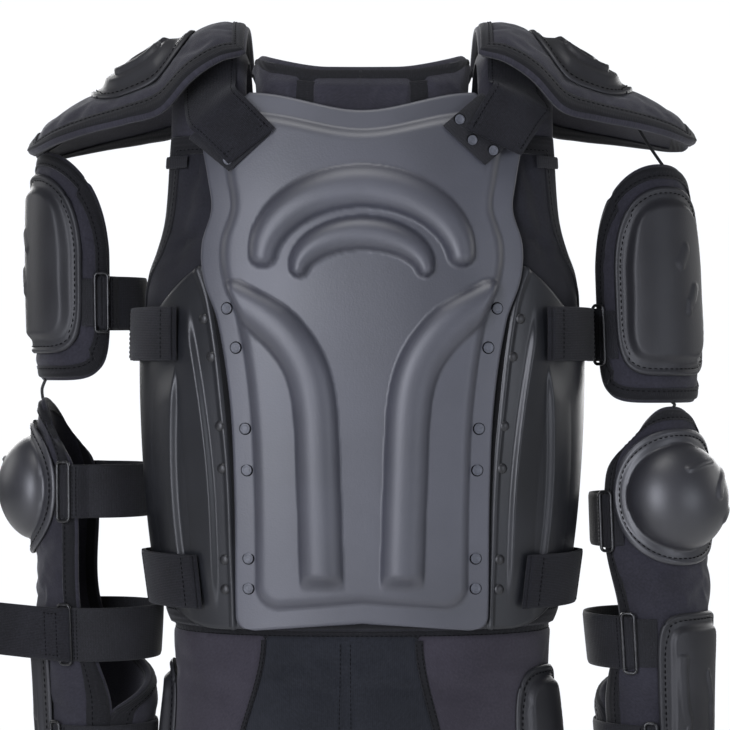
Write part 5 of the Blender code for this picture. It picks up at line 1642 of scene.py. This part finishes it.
def makeHipGuard():
    beltLow = -torso["length"] - hips["beltHeight"] + hips["beltLap"]
    inner = -hips["beltPlay"] - hips["beltWall"]
    panelTop = beltLow - clear["gap"]

    turn = np.linspace(0, 360, 240, endpoint=False)
    angle, b = np.meshgrid(turn, np.linspace(0, 1, 12))
    z = beltLow + hips["beltHeight"] * b
    puffed = 0.5 * mm * np.sin(math.pi * b)
    belt = wallMesh("waist_belt_cloth", torsoPoint(angle, z, inner),
                    torsoPoint(angle, z, inner + hips["beltWall"] - 0.6 * mm + puffed), binding, ring=True)
    settle(belt, "nylon_padding", "waist_belt")
    for number, share in enumerate((0.10, 0.90)):
        line = torsoPoint(turn, beltLow + hips["beltHeight"] * share, inner + hips["beltWall"] - 0.2 * mm)
        sewRows("waist_belt_stitches_%d" % number, [line], "nylon_padding", "belt", closed=True)

    form = dict(hips["panel"], inner=inner)

    def groinSurface(a, b, off):
        share = (1 - b) / 2
        depth = hips["groinLength"] * share * (1 - 0.25 * np.abs(a) ** 2.5 * share)
        return torsoPoint(groinEdge(depth) * a - hips["turn"], panelTop - depth, off)

    def middleSeam(a, b):
        return -3.0 * mm * bump(a, 0.0, 0.05) * (1 - ease(b, 0.97, 1.0))

    makePad("groin_cloth", form, groinSurface, knit, "groin_panel", held=lambda a, b: bump(a, 0.0, 0.05),
            extra=middleSeam, slotName="knit_panel")
    t = np.linspace(0.95, -0.95, 40)
    lines = [groinSurface(place, t, inner + hips["wall"] + 0.5 * mm) for place in (-0.07, 0.07)]
    sewRows("groin_seam_stitches", lines, "knit_panel", "seam")

    for side, sign in sides.items():
        def thighSurface(a, b, off, sign=sign):
            share = (1 - b) / 2
            depth = hips["thighLength"] * share * (1 - 0.12 * np.abs(a) ** 3 * share)
            first = groinEdge(depth) + hips["seam"] + 4 * ease(share, 0.45, 1.0)
            angle = first + (hips["thighAngle"] - first - 8 * ease(share, 0.5, 1.0)) * (a + 1) / 2
            return torsoPoint(sign * angle - hips["turn"], panelTop - depth, off)

        makePad("thigh_cloth_" + side, form, thighSurface, neoprene, "thigh_panel_" + side)

        # Flat seam tape over the joint with the middle panel
        def seamTape(a, b, off, thighSurface=thighSurface, side=side):
            share = 1 - 2 * (0.004 + 0.68 * b)
            wide = hips["seamWidth"][side] / 2
            return thighSurface(-1 + wide * a, share, inner + hips["wall"] * 0.95 + off)

        makeBand("thigh_seam_" + side, seamTape, 1.3 * mm, (7, 80), binding, "nylon_padding")
        t = np.linspace(0.02, 0.98, 60)
        lines = [seamTape(place, t, 1.5 * mm) for place in (-0.7, 0.7)]
        sewRows("thigh_seam_stitches_" + side, lines, "nylon_padding", "seam")

        shell = dict(hips["shell"], inner=inner + hips["wall"] + clear["loose"])

        def shellSurface(a, b, off, sign=sign):
            p, q = rounded(a, b, hips["shell"]["power"])
            low, high = hips["shellAngles"]
            z = panelTop - hips["shellDrop"] - hips["shellHeight"] * (1 - q) / 2
            return torsoPoint(sign * ((low + high) / 2 + p * (high - low) / 2) - hips["turn"], z, off)

        makeShell("hip_shell_moulded_" + side, shell, shellSurface, "hip_shell_" + side)


makeVest()
print("stage: vest")
makeCollar()
makeBackPlate()
setPlateRivets()
for side, sign in sides.items():
    makeYokes(side, sign)
    makeSidePlate(side, sign)
    makeShoulderWebbing(side, sign)
    makeSideStraps(side, sign)
    makeCap(side, sign)
    makeUpperArm(side)
    makeLowerArm(side)
    makeCords(side, sign)
    print("stage:", side, "side")
makeStrapEnd()
makeHipGuard()
print("stage: hip guard")


view = {
    # The photo's frame is 0.6424 m wide at 2.2 m from the camera.
    "place": (0.00264, -2.35, -0.2684), "frameWidth": 0.6424, "frameDistance": 2.2,
    "room": "#f3f5f9", "floor": -1.05, "floorCorners": ((-5, -5), (5, -5), (5, 3), (-5, 3)),
}


def makeStage():
    camera = bpy.data.cameras.new("camera")
    camera.angle = 2 * math.atan(view["frameWidth"] / 2 / view["frameDistance"])
    eye = linkObject("camera", camera)
    eye.location = view["place"]
    eye.rotation_euler = (math.radians(90), 0, 0)
    bpy.context.scene.camera = eye

    lights = {
        # place, aim, size, power, colour
        "key": ((-1.02, -2.45, 0.05), (0, 0, -0.28), 1.0, 60, "#eef1fd"),
        "fill": ((2.0, -2.0, -0.2), (0, 0, -0.3), 1.2, 15, "#eef3ff"),
        "top": ((-0.1, -0.5, 1.7), (0, 0, -0.1), 0.9, 14, "#ffffff"),
        "rimLeft": ((-1.6, 0.6, 0.2), (0, 0, -0.3), 0.9, 4, "#ffffff"),
        "rimRight": ((1.7, 0.6, 0.1), (0, 0, -0.3), 0.9, 4, "#ffffff"),
        "backLeft": ((-1.1, 2.6, 0.5), (0, 0, -0.3), 1.4, 44, "#ffffff"),
        "backRight": ((1.4, 2.4, 0.2), (0, 0, -0.3), 1.4, 26, "#ffffff"),
    }
    for name, (place, aim, size, power, colour) in lights.items():
        lamp = bpy.data.lights.new(name, "AREA")
        lamp.shape = "ELLIPSE"
        lamp.size = size
        lamp.size_y = size * (2.2 if name == "key" else 1)
        lamp.energy = power
        lamp.color = hexColour(colour)[:3]
        thing = linkObject(name, lamp)
        thing.location = place
        thing.rotation_euler = (Vector(aim) - Vector(place)).to_track_quat("-Z", "Y").to_euler()

    # The camera sees a pale room on every side, but the room gives the suit little light.
    world = bpy.data.worlds.new("studio")
    world.use_nodes = True
    tree = world.node_tree
    seen = addNode(tree, "ShaderNodeLightPath").outputs["Is Camera Ray"]
    level = addNode(tree, "ShaderNodeMapRange", {"Value": seen, "To Min": 0.15, "To Max": 1.12})
    fillSockets(tree, tree.nodes["Background"], {"Color": hexColour(view["room"]),
                                                 "Strength": level.outputs["Result"]})
    bpy.context.scene.world = world

    paper, tree, shader = startMaterial("paper_floor_matt", 0.95, 0.1)
    where = addNode(tree, "ShaderNodeTexCoord").outputs["Object"]
    noise = addNode(tree, "ShaderNodeTexNoise", {"Vector": where, "Scale": 3.0, "Detail": 2.0})
    seen = addNode(tree, "ShaderNodeLightPath").outputs["Is Camera Ray"]
    pale = addNode(tree, "ShaderNodeMapRange", {"Value": seen, "To Min": 0.0, "To Max": 0.75})
    fillSockets(tree, shader, {"Base Color": twoTone(tree, "#f4f4f3", "#fbfbfa", noise.outputs["Fac"]),
                               "Emission Color": hexColour(view["room"]),
                               "Emission Strength": pale.outputs["Result"]})
    verts = [(x, y, view["floor"]) for x, y in view["floorCorners"]]
    makeObject("floor", verts, [(0, 1, 2, 3)], paper)
    bpy.context.scene.view_settings.view_transform = "Standard"


makeStage()
for head in heads.values():
    bpy.data.objects.remove(head, do_unlink=True)
